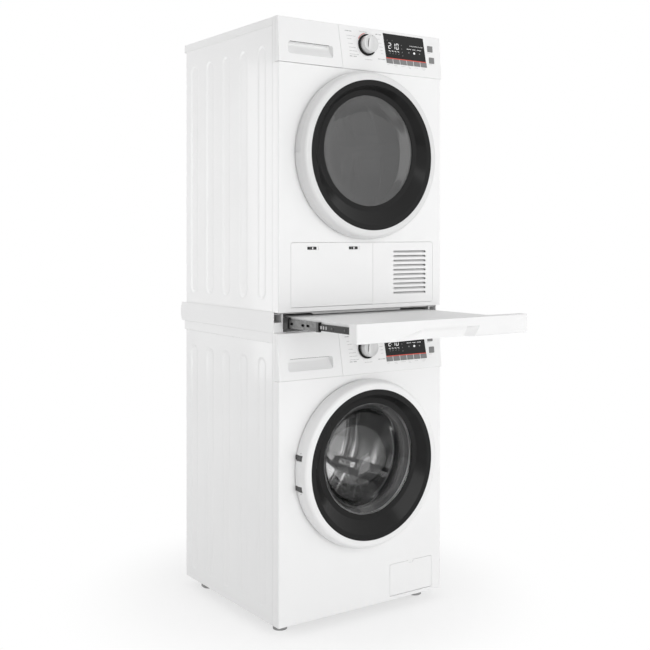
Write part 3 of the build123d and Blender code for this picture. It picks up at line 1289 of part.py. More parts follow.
def shelf_front():
    """Hollow moulded front with a finger scoop in its lower edge."""
    z = (KIT_Z + FRONT_Z[0], KIT_Z + FRONT_Z[1])
    y = (SHELF_FRONT_Y, -SHELF_OUT)
    whole = block(about(0, FRONT_W), y, z)
    body = fillet(whole.edges().filter_by(Axis.Z).group_by(Axis.Y)[0], FRONT_R)
    body = fillet(body.edges().filter_by(Axis.X).group_by(Axis.Y)[0], FRONT_R / 2)
    w = FRONT_WALL
    body -= block(about(0, FRONT_W - 2 * w), (y[0] + w, y[1] + 1), (z[0] + w, z[1] - w))
    # mounting strip that the shelf board is screwed to
    strip = (KIT_Z + SLIDE_Z - INNER_H / 2, z[1] - w / 2)
    body += block(about(0, SHELF_W), (y[1] - w, y[1]), strip)
    return body + (scoop(w) & whole) - scoop(0)


# ---- write ----------------------------------------------------------------------------------
def main():
    save("washer_cabinet", washer_cabinet())
    save("washer_front_panel", washer_front_panel())
    save("washer_top_cover", top_cover(WASHER))
    save("washer_fascia", fascia(WASHER, TRAY_Z))
    save("washer_drawer_housing", washer_drawer_housing())
    save("washer_drawer", washer_drawer())
    save("washer_gasket", washer_gasket())
    save("washer_tub", washer_tub())
    save("washer_drum", washer_drum())
    save("washer_drum_pulley", washer_drum_pulley())
    save("washer_motor_pulley", washer_motor_pulley())
    save("washer_tub_mounting", Compound(washer_tub_mounting()))
    save("washer_drain_pump", washer_drain_pump())
    save("washer_filter_flap", washer_filter_flap())
    save("washer_door_glass", washer_door_glass())
    save("dryer_cabinet", dryer_cabinet())
    save("dryer_front_panel", dryer_front_panel())
    save("dryer_top_cover", top_cover(DRYER))
    save("dryer_fascia", dryer_fascia())
    save("dryer_water_tank", dryer_water_tank())
    save("dryer_drum", dryer_drum())
    save("dryer_bulkhead", dryer_bulkhead())
    save("dryer_lint_filter", dryer_lint_filter())
    save("dryer_condenser_flap", dryer_condenser_flap())
    save("dryer_flap_latches", Compound(dryer_flap_latches()))
    save("dryer_grille", dryer_grille())
    save("dryer_door_glass", dryer_door_glass())
    for machine in (WASHER, DRYER):
        name = machine.name
        save(f"{name}_knob", knob(machine))
        save(f"{name}_power_key", side_key(machine, POWER_AT))
        save(f"{name}_start_key", side_key(machine, START_AT))
        for number, (left, right) in enumerate(key_places(), 1):
            save(f"{name}_key_{number}", function_key(machine, left, right))
        save(f"{name}_door_ring", door_ring(machine))
        save(f"{name}_door_trim", door_trim(machine))
    save("display_windows", Compound(display_windows()))
    save("door_hinges", Compound(door_hinges()))
    save("drive_motors", Compound(drive_motors()))
    save("drive_belts", Compound(drive_belts()))
    save("levelling_feet", Compound(levelling_feet()))
    save("kit_frame", kit_frame())
    save("slide_fixed", Compound(slide_fixed()))
    save("slide_middle", Compound(slide_middle()))
    save("slide_inner", Compound(slide_inner()))
    save("shelf_board", shelf_board())
    save("shelf_front", shelf_front())


main()
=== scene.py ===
import math

import bmesh
import bpy
from mathutils import Matrix, Vector

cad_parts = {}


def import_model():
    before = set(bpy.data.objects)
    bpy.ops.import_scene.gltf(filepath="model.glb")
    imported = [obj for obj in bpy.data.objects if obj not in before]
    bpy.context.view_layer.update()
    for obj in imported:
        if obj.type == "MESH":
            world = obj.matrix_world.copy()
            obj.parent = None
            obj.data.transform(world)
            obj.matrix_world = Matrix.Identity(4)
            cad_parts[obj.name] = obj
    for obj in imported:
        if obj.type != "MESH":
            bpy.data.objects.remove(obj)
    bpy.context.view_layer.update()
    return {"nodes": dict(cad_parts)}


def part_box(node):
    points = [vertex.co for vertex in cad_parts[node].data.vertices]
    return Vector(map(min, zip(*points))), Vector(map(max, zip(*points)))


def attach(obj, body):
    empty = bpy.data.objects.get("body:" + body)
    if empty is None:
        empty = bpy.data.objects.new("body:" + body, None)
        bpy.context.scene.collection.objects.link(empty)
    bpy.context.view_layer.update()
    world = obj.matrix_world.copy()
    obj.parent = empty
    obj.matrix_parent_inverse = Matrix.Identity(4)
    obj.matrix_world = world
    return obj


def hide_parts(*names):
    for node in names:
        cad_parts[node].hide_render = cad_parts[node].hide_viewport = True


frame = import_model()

# Sizes are in millimetres, measured as in the model: X to the right, Y from the plane of the
# front panels towards the wall, Z up from the floor. MM turns them into the frame's metres.
MM = 0.001
NODES = frame["nodes"]
PLANE_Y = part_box("washer_front_panel")[0].y
TO_FRAME = Matrix.Translation((0, PLANE_Y, 0)) @ Matrix.Scale(MM, 4)

# places on a control panel are X and a height measured up the panel's leaning face
FASCIA_LIP = 5.0        # the panel's lower edge stands proud of the front panel
FASCIA_BACK = 5.5       # and its upper edge is set back
WINDOW_X = (84.0, 240.5)    # the display window's left and right edge at KEY_V
WINDOW_V = (46.5, 121.0)
SLANT = 10.5 / 90.0     # sideways lean of the display per mm of height
KEY_V = 31.0            # lower edge of the function keys
KEY_COUNT = 6
KEY_PITCH = (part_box("washer_key_2")[0].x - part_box("washer_key_1")[0].x) / MM
KNOB_X = 11.0
KNOB_V = 77.0
SIDE_PRINT = ((243.5, 77.4), (248, 42.0))   # captions under the power and start keys
GRIP_SHADE = (-191.5, 60.9, 134, 1.3)    # dark strip of painted shade over a grip: middle, height, length and width

EYE_UP = 14.0           # a door's glass sits above its ring's centre
EYE_R = 178.0           # inner edge of the trim's slope, where the glass is seated
EYE_Y = -27.0
STEP_T = 2.0            # thickness of the trim's step, which covers the glass's edge
GAP = 0.3               # between that step and the glass
BOWL_R = 138.0          # the washer's bowl at the front panel's plane

SLIDE_UP = 27.5
KIT_BULGE = 10.0

SLOT_X = (110.5, 237.5)     # the grille's slots; heights are from the dryer cabinet's bottom
SLOT_Z = (36.0, 174.0)
SLOT_COUNT = 10
LATCH_X = (-184.5, -38.5)   # middles of the condenser flap's latches
LATCH_Z = 180.0

INLET_X, INLET_DOWN = -215, 90      # water inlet, below the washer's top
DRAIN_X, DRAIN_DOWN = 215, 150      # drain spigot
GLAND_X = 215           # cable glands
WASHER_GLAND_DOWN = 80
DRYER_GLAND_UP = 60     # above the dryer's front panel's lower edge
FOOT_X = 249.5          # foot's middle from the middle of the stack
FOOT_INSET = 68.0       # foot's middle from the front panel and from the rear wall


class Machine:
    """Where one machine's parts are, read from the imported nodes."""

    def __init__(self, name):
        low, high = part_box(name + "_fascia")
        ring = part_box(name + "_door_ring")
        self.name = name
        self.z0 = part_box(name + "_front_panel")[0].z / MM
        self.fascia_z = low.z / MM
        self.top = high.z / MM
        self.axis_z = (ring[0].z + ring[1].z) / 2 / MM + EYE_UP
        lean = math.atan2(FASCIA_LIP + FASCIA_BACK, self.top - self.fascia_z)
        up = (0, math.sin(lean), math.cos(lean))
        out = (0, -math.cos(lean), math.sin(lean))
        place = Matrix(((1, up[0], out[0], 0), (0, up[1], out[1], -FASCIA_LIP),
                        (0, up[2], out[2], self.fascia_z), (0, 0, 0, 1)))
        self.face = TO_FRAME @ place

    def body(self, part):
        return f"{self.name}_{part}"


WASHER = Machine("washer")
DRYER = Machine("dryer")
KIT_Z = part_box("kit_frame")[0].z / MM
# The dryer cabinet's box ends at its cable gland, 9 mm behind the sheet of the rear walls, so
# what is placed from BACK_Y stands that much too far back.
BACK_Y = (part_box("dryer_cabinet")[1].y - PLANE_Y) / MM
TO_WALL = (0, 1, 0)     # normal of the rear walls


# ---- shapes ---------------------------------------------------------------------------------
class Shape:
    """Faces for one piece, collected in millimetres."""

    def __init__(self):
        self.points, self.faces, self.slots = [], [], []

    def add(self, points, faces, slot=0):
        base = len(self.points)
        self.points += [Vector(p) for p in points]
        self.faces += [[base + i for i in face] for face in faces]
        self.slots += [slot] * len(faces)
        return self

    def prism(self, outline, low, high, slot=0, inset=0.0):
        """A plate from a flat outline, anticlockwise seen from its top; inset chamfers the top."""
        n = len(outline)
        middle = sum((Vector(p) for p in outline), Vector((0, 0))) / n
        points = [(x, y, low) for x, y in outline]
        if inset:
            points += [(x, y, high - inset) for x, y in outline]
        for x, y in outline:
            away = Vector((x, y)) - middle
            shrink = max(0.0, 1 - inset / max(away.length, 1e-6))
            points.append((middle.x + away.x * shrink, middle.y + away.y * shrink, high))
        rows = 2 if inset else 1
        faces = [list(reversed(range(n))), [rows * n + i for i in range(n)]]
        for row in range(rows):
            a, b = row * n, (row + 1) * n
            faces += [[a + i, a + (i + 1) % n, b + (i + 1) % n, b + i] for i in range(n)]
        return self.add(points, faces, slot)

    def rings(self, rings, count=96, slot=0, closed=False, x=0.0, z=0.0, span=None):
        """Joins circles about a line along Y, each (radius, y); span is a pair of degrees."""
        full = span is None
        a0, a1 = (0.0, 2 * math.pi) if full else (math.radians(v) for v in span)
        steps = count if full else count + 1
        points = []
        for r, y in rings:
            for i in range(steps):
                a = a0 + (a1 - a0) * i / count
                points.append((x + r * math.sin(a), y, z + r * math.cos(a)))
        faces = []
        pairs = list(zip(range(len(rings)), range(1, len(rings))))
        if closed:
            pairs.append((len(rings) - 1, 0))
        for p, q in pairs:
            for i in range(count):
                j = (i + 1) % steps
                faces.append([p * steps + i, p * steps + j, q * steps + j, q * steps + i])
        if not full and closed:
            faces.append([p * steps for p in range(len(rings))])
            faces.append([p * steps + count for p in reversed(range(len(rings)))])
        return self.add(points, faces, slot)

    def box(self, x, y, z, slot=0):
        """A block from a (low, high) pair along each axis."""
        points = [(a, b, c) for c in z for b in y for a in x]
        faces = [[0, 2, 3, 1], [4, 5, 7, 6], [0, 1, 5, 4], [2, 6, 7, 3], [0, 4, 6, 2], [1, 3, 7, 5]]
        return self.add(points, faces, slot)

    def ball(self, centre, radius, rows=6, count=10):
        rings = [(radius * math.sin(math.pi * i / rows), -radius * math.cos(math.pi * i / rows))
                 for i in range(rows + 1)]
        part = Shape().rings([(max(r, 0.001), y) for r, y in rings], count)
        return self.add([p + Vector(centre) for p in part.points], part.faces)

    def placed(self, other, matrix):
        """Adds another shape, moved by a matrix in millimetres."""
        base = len(self.points)
        self.points += [matrix @ p for p in other.points]
        self.faces += [[base + i for i in face] for face in other.faces]
        self.slots += other.slots
        return self

    def piece(self, name, body, materials, matrix=TO_FRAME, slot=None, angle=32.0, weld=0.0):
        """Makes the mesh, with edges sharp from this angle in degrees, and lets it ride a body."""
        mesh = bpy.data.meshes.new(name)
        mesh.from_pydata([matrix @ p for p in self.points], [], self.faces)
        for material in materials:
            mesh.materials.append(material)
        mesh.polygons.foreach_set("material_index", self.slots)
        mesh.polygons.foreach_set("use_smooth", [True] * len(self.faces))
        mesh.validate()
        bm = bmesh.new()
        bm.from_mesh(mesh)
        if weld:
            bmesh.ops.remove_doubles(bm, verts=bm.verts, dist=weld * MM)
        bmesh.ops.recalc_face_normals(bm, faces=bm.faces)
        bm.to_mesh(mesh)
        bm.free()
        mesh.set_sharp_from_angle(angle=math.radians(angle))
        obj = bpy.data.objects.new(name, mesh)
        bpy.context.scene.collection.objects.link(obj)
        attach(obj, body)
        return obj


def oblong(x, v, w, h, radius=0.0, steps=5):
    """A rectangle about a point, with rounded corners, anticlockwise."""
    r = min(radius, w / 2, h / 2)
    if r <= 0:
        return [(x + sx * w / 2, v + sv * h / 2) for sx, sv in ((-1, -1), (1, -1), (1, 1), (-1, 1))]
    corners = ((1, -1, -90), (1, 1, 0), (-1, 1, 90), (-1, -1, 180))
    points = []
    for sx, sv, start in corners:
        for i in range(steps + 1):
            a = math.radians(start + 90 * i / steps)
            points.append((x + sx * (w / 2 - r) + r * math.cos(a), v + sv * (h / 2 - r) + r * math.sin(a)))
    return points


def polygon(radius, count, start=0.0):
    """Corners of a regular polygon about the origin, the first at start degrees."""
    return [(radius * math.cos(a), radius * math.sin(a))
            for a in (math.radians(start + 360 / count * i) for i in range(count))]


def leaning(left, right, low, high):
    """A parallelogram with the display's lean; left and right are taken at KEY_V."""
    def at(x, v):
        return (x - SLANT * (v - KEY_V), v)
    return [at(left, low), at(right, low), at(right, high), at(left, high)]


def between(four, t):
    """The Catmull-Rom point at t from 0 to 1 between the middle two of four points."""
    return tuple(
        0.5 * (2 * q + (r - p) * t + (2 * p - 5 * q + 4 * r - s) * t * t
               + (3 * q - p - 3 * r + s) * t ** 3)
        for p, q, r, s in zip(*four))


def smooth_profile(points, steps=6):
    """Rounds an open profile of (radius, y) points with a line through them."""
    ends = [points[0], *points, points[-1]]
    rounded = [between(four, i / steps)
               for four in zip(ends, ends[1:], ends[2:], ends[3:]) for i in range(steps)]
    return rounded + [points[-1]]


def smooth_loop(points, steps):
    """The same for a closed profile."""
    n = len(points)
    return [between([points[(k + j - 1) % n] for j in range(4)], i / steps)
            for k in range(n) for i in range(steps)]


# ---- finishes -------------------------------------------------------------------------------
GRAIN_DEPTH = 0.0002        # metres


def grey(value):
    """The linear colour of an sRGB grey from 0 to 255."""
    return srgb(value, value, value)


def srgb(*values):
    def line(v):
        v /= 255
        return v / 12.92 if v <= 0.04045 else ((v + 0.055) / 1.055) ** 2.4
    return (*(line(v) for v in values), 1.0)


class Tree:
    """A material and its node tree."""

    def __init__(self, name):
        self.material = bpy.data.materials.new(name)
        self.material.use_nodes = True
        self.nodes = self.material.node_tree.nodes
        self.links = self.material.node_tree.links
        self.bsdf = self.nodes["Principled BSDF"]
        self.output = self.nodes["Material Output"]

    def node(self, kind):
        return self.nodes.new("ShaderNode" + kind)

    def set(self, **values):
        """Sets inputs of the Principled BSDF, with _ for the spaces in their names."""
        for key, value in values.items():
            self.bsdf.inputs[key.replace("_", " ")].default_value = value

    def link(self, source, target):
        self.links.new(source, target)

    def noise(self, scale, stretch=(1, 1, 1), detail=2.0):
        place = self.node("TexCoord")
        mapping = self.node("Mapping")
        mapping.inputs["Scale"].default_value = stretch
        self.link(place.outputs["Object"], mapping.inputs["Vector"])
        texture = self.node("TexNoise")
        texture.inputs["Scale"].default_value = scale
        texture.inputs["Detail"].default_value = detail
        self.link(mapping.outputs["Vector"], texture.inputs["Vector"])
        return texture.outputs["Fac"]

    def ramp(self, source, low, high):
        ramp = self.node("ValToRGB")
        first, last = ramp.color_ramp.elements
        first.position, last.position = 0.3, 0.7
        first.color, last.color = low, high
        self.link(source, ramp.inputs["Fac"])
        return ramp.outputs["Color"]

    def bump(self, source, strength):
        node = self.node("Bump")
        node.inputs["Strength"].default_value = strength
        node.inputs["Distance"].default_value = GRAIN_DEPTH
        self.link(source, node.inputs["Height"])
        self.link(node.outputs["Normal"], self.bsdf.inputs["Normal"])


def shade(colour, amount):
    return (*(min(1.0, c * amount) for c in colour[:3]), 1.0)


def finish(name, colour, rough, metal=0.0, grain=900.0, bump=0.12, drift=0.03, rough_drift=0.04,
           stretch=(1, 1, 1), cloud=6.0, coat=0.0, specular=0.5):
    """A solid finish: slow drift of tone over a fine grain, felt as bump and seen in the gloss.

    grain and cloud are the scales of the two noises, and drift and rough_drift their shares.
    """
    tree = Tree(name)
    slow = tree.noise(cloud, detail=3.0)
    tone = tree.ramp(slow, shade(colour, 1 - drift), shade(colour, 1 + drift))
    tree.link(tone, tree.bsdf.inputs["Base Color"])
    fine = tree.noise(grain, stretch)
    gloss = tree.ramp(fine, (rough - rough_drift,) * 3 + (1,), (rough + rough_drift,) * 3 + (1,))
    tree.link(gloss, tree.bsdf.inputs["Roughness"])
    tree.bump(fine, bump)
    tree.set(Metallic=metal, Coat_Weight=coat, Coat_Roughness=0.06, Specular_IOR_Level=specular)
    return tree.material


def glass(name, tint, lamp_tint, clear_part=1.0, rough=0.0):
    """Glass that bends what is behind it and lets part of the lamps' light through."""
    tree = Tree(name)
    tree.set(Base_Color=tint, Roughness=rough, Transmission_Weight=clear_part, IOR=1.45)
    clear = tree.node("BsdfTransparent")
    clear.inputs["Color"].default_value = lamp_tint
    path = tree.node("LightPath")
    mix = tree.node("MixShader")
    tree.link(path.outputs["Is Shadow Ray"], mix.inputs["Fac"])
    tree.link(tree.bsdf.outputs["BSDF"], mix.inputs[1])
    tree.link(clear.outputs["BSDF"], mix.inputs[2])
    tree.link(mix.outputs["Shader"], tree.output.inputs["Surface"])
    return tree.material


def lit(name, colour, strength):
    """A sign on the display that gives light."""
    tree = Tree(name)
    tree.set(Base_Color=colour, Roughness=0.4, Emission_Color=colour, Emission_Strength=strength)
    return tree.material


ENAMEL = finish("white_enamel", grey(240), 0.36, grain=420, bump=0.05, drift=0.008, coat=0.25)
COVER = finish("white_plastic", grey(239), 0.42, grain=1500, bump=0.08, drift=0.008)
FASCIA = finish("fascia_plastic", grey(238), 0.38, grain=2200, bump=0.05, drift=0.006)
RING = finish("door_plastic", grey(235), 0.30, grain=1300, bump=0.03, drift=0.008)
DRYER_RING = finish("dryer_door_plastic", grey(222), 0.30, grain=1300, bump=0.03, drift=0.008)
BLACK = finish("black_gloss", grey(30), 0.15, grain=1400, bump=0.02, drift=0.10, rough_drift=0.02,
               specular=0.17)
DARK = finish("black_satin", grey(26), 0.38, grain=1800, bump=0.10, drift=0.10)
SILVER = finish("knob_silver", grey(212), 0.34, metal=0.6, grain=900, bump=0.05, stretch=(1, 1, 14),
                drift=0.03)
KEY_GREY = finish("key_grey", grey(124), 0.40, grain=2000, bump=0.06, drift=0.03)
HINGE = finish("hinge_plate", grey(84), 0.45, metal=0.2, grain=700, bump=0.10, drift=0.05)
RUBBER = finish("grey_rubber", grey(62), 0.55, grain=1600, bump=0.25, drift=0.06)
FOOT = finish("foot_grey", grey(165), 0.6, grain=1400, bump=0.25, drift=0.06)
STEEL = finish("stainless", grey(214), 0.13, metal=0.95, grain=300, bump=0.06, stretch=(1, 12, 1),
               drift=0.06)
DRYER_STEEL = finish("dryer_drum_steel", grey(225), 0.24, metal=0.8, grain=300, bump=0.06, drift=0.04)
DRYER_BACK = finish("dryer_drum_back", grey(88), 0.55, metal=0.3, grain=300, bump=0.10, drift=0.05)
# painted shade for the dryer drum's vent holes: the colour of the dark discs that stand for them
DRYER_VENT_SHADE = finish("dryer_vent_shade", grey(58), 0.60, grain=900, bump=0.10, drift=0.05)
ZINC = finish("zinc_plate", grey(98), 0.40, metal=0.9, grain=90, bump=0.05, drift=0.12, cloud=40,
              rough_drift=0.08)
SLIDE_BLACK = finish("slide_black", grey(24), 0.34, grain=700, bump=0.10, drift=0.10, specular=0.2)
KIT = finish("kit_steel", grey(236), 0.40, grain=600, bump=0.10, drift=0.01)
SHELF = finish("shelf_white", grey(233), 0.44, grain=900, bump=0.10, drift=0.012)
TUB = finish("tub_plastic", grey(150), 0.55, grain=900, bump=0.2, drift=0.05)
CAST = finish("die_cast", grey(176), 0.45, metal=1.0, grain=500, bump=0.3, drift=0.06)
MOTOR = finish("motor_steel", grey(150), 0.42, metal=0.9, grain=600, bump=0.15, drift=0.08)
BELT = finish("belt_rubber", grey(30), 0.6, grain=900, bump=0.3, drift=0.08)
WEIGHT = finish("tub_weight", grey(120), 0.85, grain=260, bump=0.5, drift=0.10)
RED = finish("red_line", srgb(222, 84, 70), 0.35, grain=2000, bump=0.03, drift=0.03)
PRINT = finish("grey_print", grey(186), 0.5, grain=2500, bump=0.02, drift=0.04)
PRINT_BOLD = finish("grey_print_bold", grey(158), 0.5, grain=2500, bump=0.02, drift=0.04)
MESH = finish("filter_mesh", grey(205), 0.6, grain=1500, bump=0.3, drift=0.05)
WASHER_GLASS = glass("bowl_glass", grey(238), grey(248))
DRYER_GLASS = glass("smoked_glass", grey(150), grey(225), 0.80, 0.01)
DISPLAY = finish("display_glass", grey(38), 0.12, grain=1800, bump=0.0, drift=0.04, rough_drift=0.02,
                 specular=0.2)
DIGIT = lit("display_digit", grey(205), 0.5)
FAINT = lit("display_faint", grey(120), 0.08)

# finishes by a node's name after washer_ or dryer_, then by the whole name
NODE_FINISH = {
    "cabinet": ENAMEL, "front_panel": ENAMEL, "top_cover": COVER, "fascia": FASCIA, "drawer": FASCIA,
    "water_tank": FASCIA, "door_ring": RING, "door_trim": BLACK, "knob": SILVER, "power_key": KEY_GREY,
    "start_key": KEY_GREY, "drawer_housing": TUB, "gasket": RUBBER, "tub": TUB, "drum": STEEL,
    "drum_pulley": CAST, "motor_pulley": CAST, "tub_mounting": WEIGHT, "drain_pump": DARK,
    "filter_flap": ENAMEL, "bulkhead": TUB, "lint_filter": MESH, "condenser_flap": ENAMEL,
    "flap_latches": DARK, "grille": ENAMEL, "door_glass": WASHER_GLASS,
}
DRYER_NODE_FINISH = {
    "dryer_door_glass": DRYER_GLASS, "dryer_door_ring": DRYER_RING, "dryer_drum": DRYER_STEEL,
}
SHARED_FINISH = {
    "display_windows": DISPLAY, "door_hinges": HINGE, "drive_motors": MOTOR, "drive_belts": BELT,
    "levelling_feet": FOOT, "kit_frame": KIT, "slide_fixed": ZINC, "slide_middle": ZINC,
    "slide_inner": SLIDE_BLACK, "shelf_board": SHELF, "shelf_front": SHELF,
}


def dress_nodes():
    """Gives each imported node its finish."""
    for name, node in NODES.items():
        part = name.partition("_")[2]
        if name in SHARED_FINISH:
            material = SHARED_FINISH[name]
        elif part.startswith("key_"):
            material = KEY_GREY
        else:
            material = NODE_FINISH[part]
        material = DRYER_NODE_FINISH.get(name, material)
        node.data.materials.clear()
        node.data.materials.append(material)


# ---- camera, floor and light ----------------------------------------------------------------
CAMERA_PLACE = (-1.81555, -2.52117, 1.12573)    # metres
CAMERA_TURN = -34.82    # degrees from the view straight at the front; the camera stays level
CAMERA_LENS = 56.62     # millimetres, on a film this wide
FILM_WIDTH = 36.0
CAMERA_SHIFT = -0.1385


def camera():
    """A level view from the front left, shifted down to the stack as a shift lens does."""
    data = bpy.data.cameras.new("camera")
    data.lens = CAMERA_LENS
    data.sensor_width = FILM_WIDTH
    data.shift_y = CAMERA_SHIFT
    data.clip_end = 60.0
    obj = bpy.data.objects.new("camera", data)
    obj.location = CAMERA_PLACE
    obj.rotation_euler = (math.radians(90), 0, math.radians(CAMERA_TURN))
    bpy.context.scene.collection.objects.link(obj)
    bpy.context.scene.camera = obj


FLOOR_HALF = 9.0        # metres
FADE_START = 0.30       # metres from the stack's middle where the floor starts to whiten
FADE_END = 0.80         # and where it is plain white
FADE_LEAST = 0.62       # share of plain white up to the start


def floor():
    """A white floor that fades to plain white away from the stack, as in a cut-out photograph."""
    corners = [(x * FLOOR_HALF, y * FLOOR_HALF, 0) for x, y in ((-1, -1), (1, -1), (1, 1), (-1, 1))]
    mesh = bpy.data.meshes.new("floor")
    mesh.from_pydata(corners, [], [(0, 1, 2, 3)])
    obj = bpy.data.objects.new("floor", mesh)
    obj.location = (0, (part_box("washer_cabinet")[0].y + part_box("washer_cabinet")[1].y) / 2, -0.0005)
    bpy.context.scene.collection.objects.link(obj)
    tree = Tree("floor")
    tree.set(Base_Color=(0.94, 0.94, 0.94, 1), Roughness=0.9, Specular_IOR_Level=0.0)
    place = tree.node("TexCoord")
    distance = tree.node("VectorMath")
    distance.operation = "LENGTH"
    tree.link(place.outputs["Object"], distance.inputs[0])
    fade = tree.node("MapRange")
    fade.interpolation_type = "SMOOTHSTEP"
    fade.inputs["From Min"].default_value = FADE_START
    fade.inputs["From Max"].default_value = FADE_END
    fade.inputs["To Min"].default_value = FADE_LEAST
    tree.link(distance.outputs["Value"], fade.inputs["Value"])
    path = tree.node("LightPath")
    seen = tree.node("Math")
    seen.operation = "MULTIPLY"
    tree.link(path.outputs["Is Camera Ray"], seen.inputs[0])
    tree.link(fade.outputs["Result"], seen.inputs[1])
    white = tree.node("Emission")
    mix = tree.node("MixShader")
    tree.link(seen.outputs["Value"], mix.inputs["Fac"])
    tree.link(tree.bsdf.outputs["BSDF"], mix.inputs[1])
    tree.link(white.outputs["Emission"], mix.inputs[2])
    tree.link(mix.outputs["Shader"], tree.output.inputs["Surface"])
    mesh.materials.append(tree.material)


def world():
    """Soft ambient light; the camera, mirrors and clear glass see plain white instead."""
    made = bpy.data.worlds.new("studio")
    bpy.context.scene.world = made
    made.use_nodes = True
    nodes, links = made.node_tree.nodes, made.node_tree.links
    nodes.clear()
    output = nodes.new("ShaderNodeOutputWorld")
    ambient = nodes.new("ShaderNodeBackground")
    ambient.inputs["Color"].default_value = (1.0, 1.0, 1.0, 1)
    ambient.inputs["Strength"].default_value = 0.52
    seen = nodes.new("ShaderNodeBackground")
    seen.inputs["Color"].default_value = (1, 1, 1, 1)
    seen.inputs["Strength"].default_value = 1.0
    path = nodes.new("ShaderNodeLightPath")
    first = nodes.new("ShaderNodeMath")
    first.operation = "MAXIMUM"
    links.new(path.outputs["Is Camera Ray"], first.inputs[0])
    links.new(path.outputs["Is Glossy Ray"], first.inputs[1])
    both = nodes.new("ShaderNodeMath")
    both.operation = "MAXIMUM"
    links.new(first.outputs["Value"], both.inputs[0])
    links.new(path.outputs["Is Transmission Ray"], both.inputs[1])
    mix = nodes.new("ShaderNodeMixShader")
    links.new(both.outputs["Value"], mix.inputs["Fac"])
    links.new(ambient.outputs["Background"], mix.inputs[1])
    links.new(seen.outputs["Background"], mix.inputs[2])
    links.new(mix.outputs["Shader"], output.inputs["Surface"])


def softbox(name, place, aim, size, power, mirrored=True):
    """A rectangular lamp in metres and watts; one that isn't mirrored leaves no reflection."""
    data = bpy.data.lights.new(name, "AREA")
    data.shape = "RECTANGLE"
    data.size, data.size_y = size
    data.energy = power
    obj = bpy.data.objects.new(name, data)
    obj.location = place
    obj.rotation_euler = (Vector(aim) - Vector(place)).to_track_quat("-Z", "Y").to_euler()
    obj.visible_glossy = mirrored
    bpy.context.scene.collection.objects.link(obj)


def studio():
    bpy.context.scene.view_settings.view_transform = "Standard"
    world()
    softbox("key", (-0.4, -3.9, 1.8), (0, 0, 0.85), (2.6, 2.6), 36)
    softbox("fill", (2.8, -2.6, 1.0), (0, 0, 0.5), (2.0, 1.8), 16, mirrored=False)
    softbox("low", (0.3, -3.6, 0.55), (0, 0, 0.6), (2.4, 0.9), 19, mirrored=False)
    softbox("left", (-3.4, 0.0, 1.5), (0, 0.1, 0.7), (2.0, 2.4), 8, mirrored=False)
    softbox("rear_left", (-2.6, 2.6, 1.2), (-0.3, 0.2, 0.85), (1.4, 2.0), 26)
    softbox("top", (0.2, 0.2, 3.9), (0, 0.1, 1.0), (2.2, 2.2), 14)


# ---- control panels -------------------------------------------------------------------------
SEGMENTS = {"0": "abcdef", "1": "bc", "2": "abged"}
SIGNS_V = 85            # the signs' X counts from the window's left edge at this height
SIGN_FILM = (-0.02, 0.10)   # depth range of the signs on the display's glass
FAINT_FILM = (-0.02, 0.08)
PRINT_FILM = (0.0, 0.08)    # and of the print on the panel


def digit(shape, sign, x, v, w, h):
    """One seven-segment digit whose lower left corner is at x, v."""
    t = h * 0.12
    half = h / 2
    bars = {
        "a": ((t * 0.7, h - t), (w - t * 0.7, h)),
        "b": ((w - t, half + t * 0.4), (w, h - t * 0.4)),
        "c": ((w - t, t * 0.4), (w, half - t * 0.4)),
        "d": ((t * 0.7, 0), (w - t * 0.7, t)),
        "e": ((0, t * 0.4), (t, half - t * 0.4)),
        "f": ((0, half + t * 0.4), (t, h - t * 0.4)),
        "g": ((t * 0.7, half - t / 2), (w - t * 0.7, half + t / 2)),
    }
    for name in SEGMENTS[sign]:
        (x0, y0), (x1, y1) = bars[name]
        bar = oblong(x + (x0 + x1) / 2, v + (y0 + y1) / 2, x1 - x0, y1 - y0, t * 0.35, 2)
        shape.prism(bar, *SIGN_FILM)


def row(shape, x, v, width, height, seed, film=PRINT_FILM):
    """A printed row of short plain bars of uneven length, which stands for a caption."""
    at, k = x, seed
    while at < x + width:
        k = (k * 37 + 11) % 101
        bar = height * (0.35 + 0.9 * k / 101)
        bar = min(bar, x + width - at)
        if bar > 0.25:
            shape.prism(oblong(at + bar / 2, v, bar, height), *film)
        at += bar + height * (0.28 if k % 5 else 0.9)


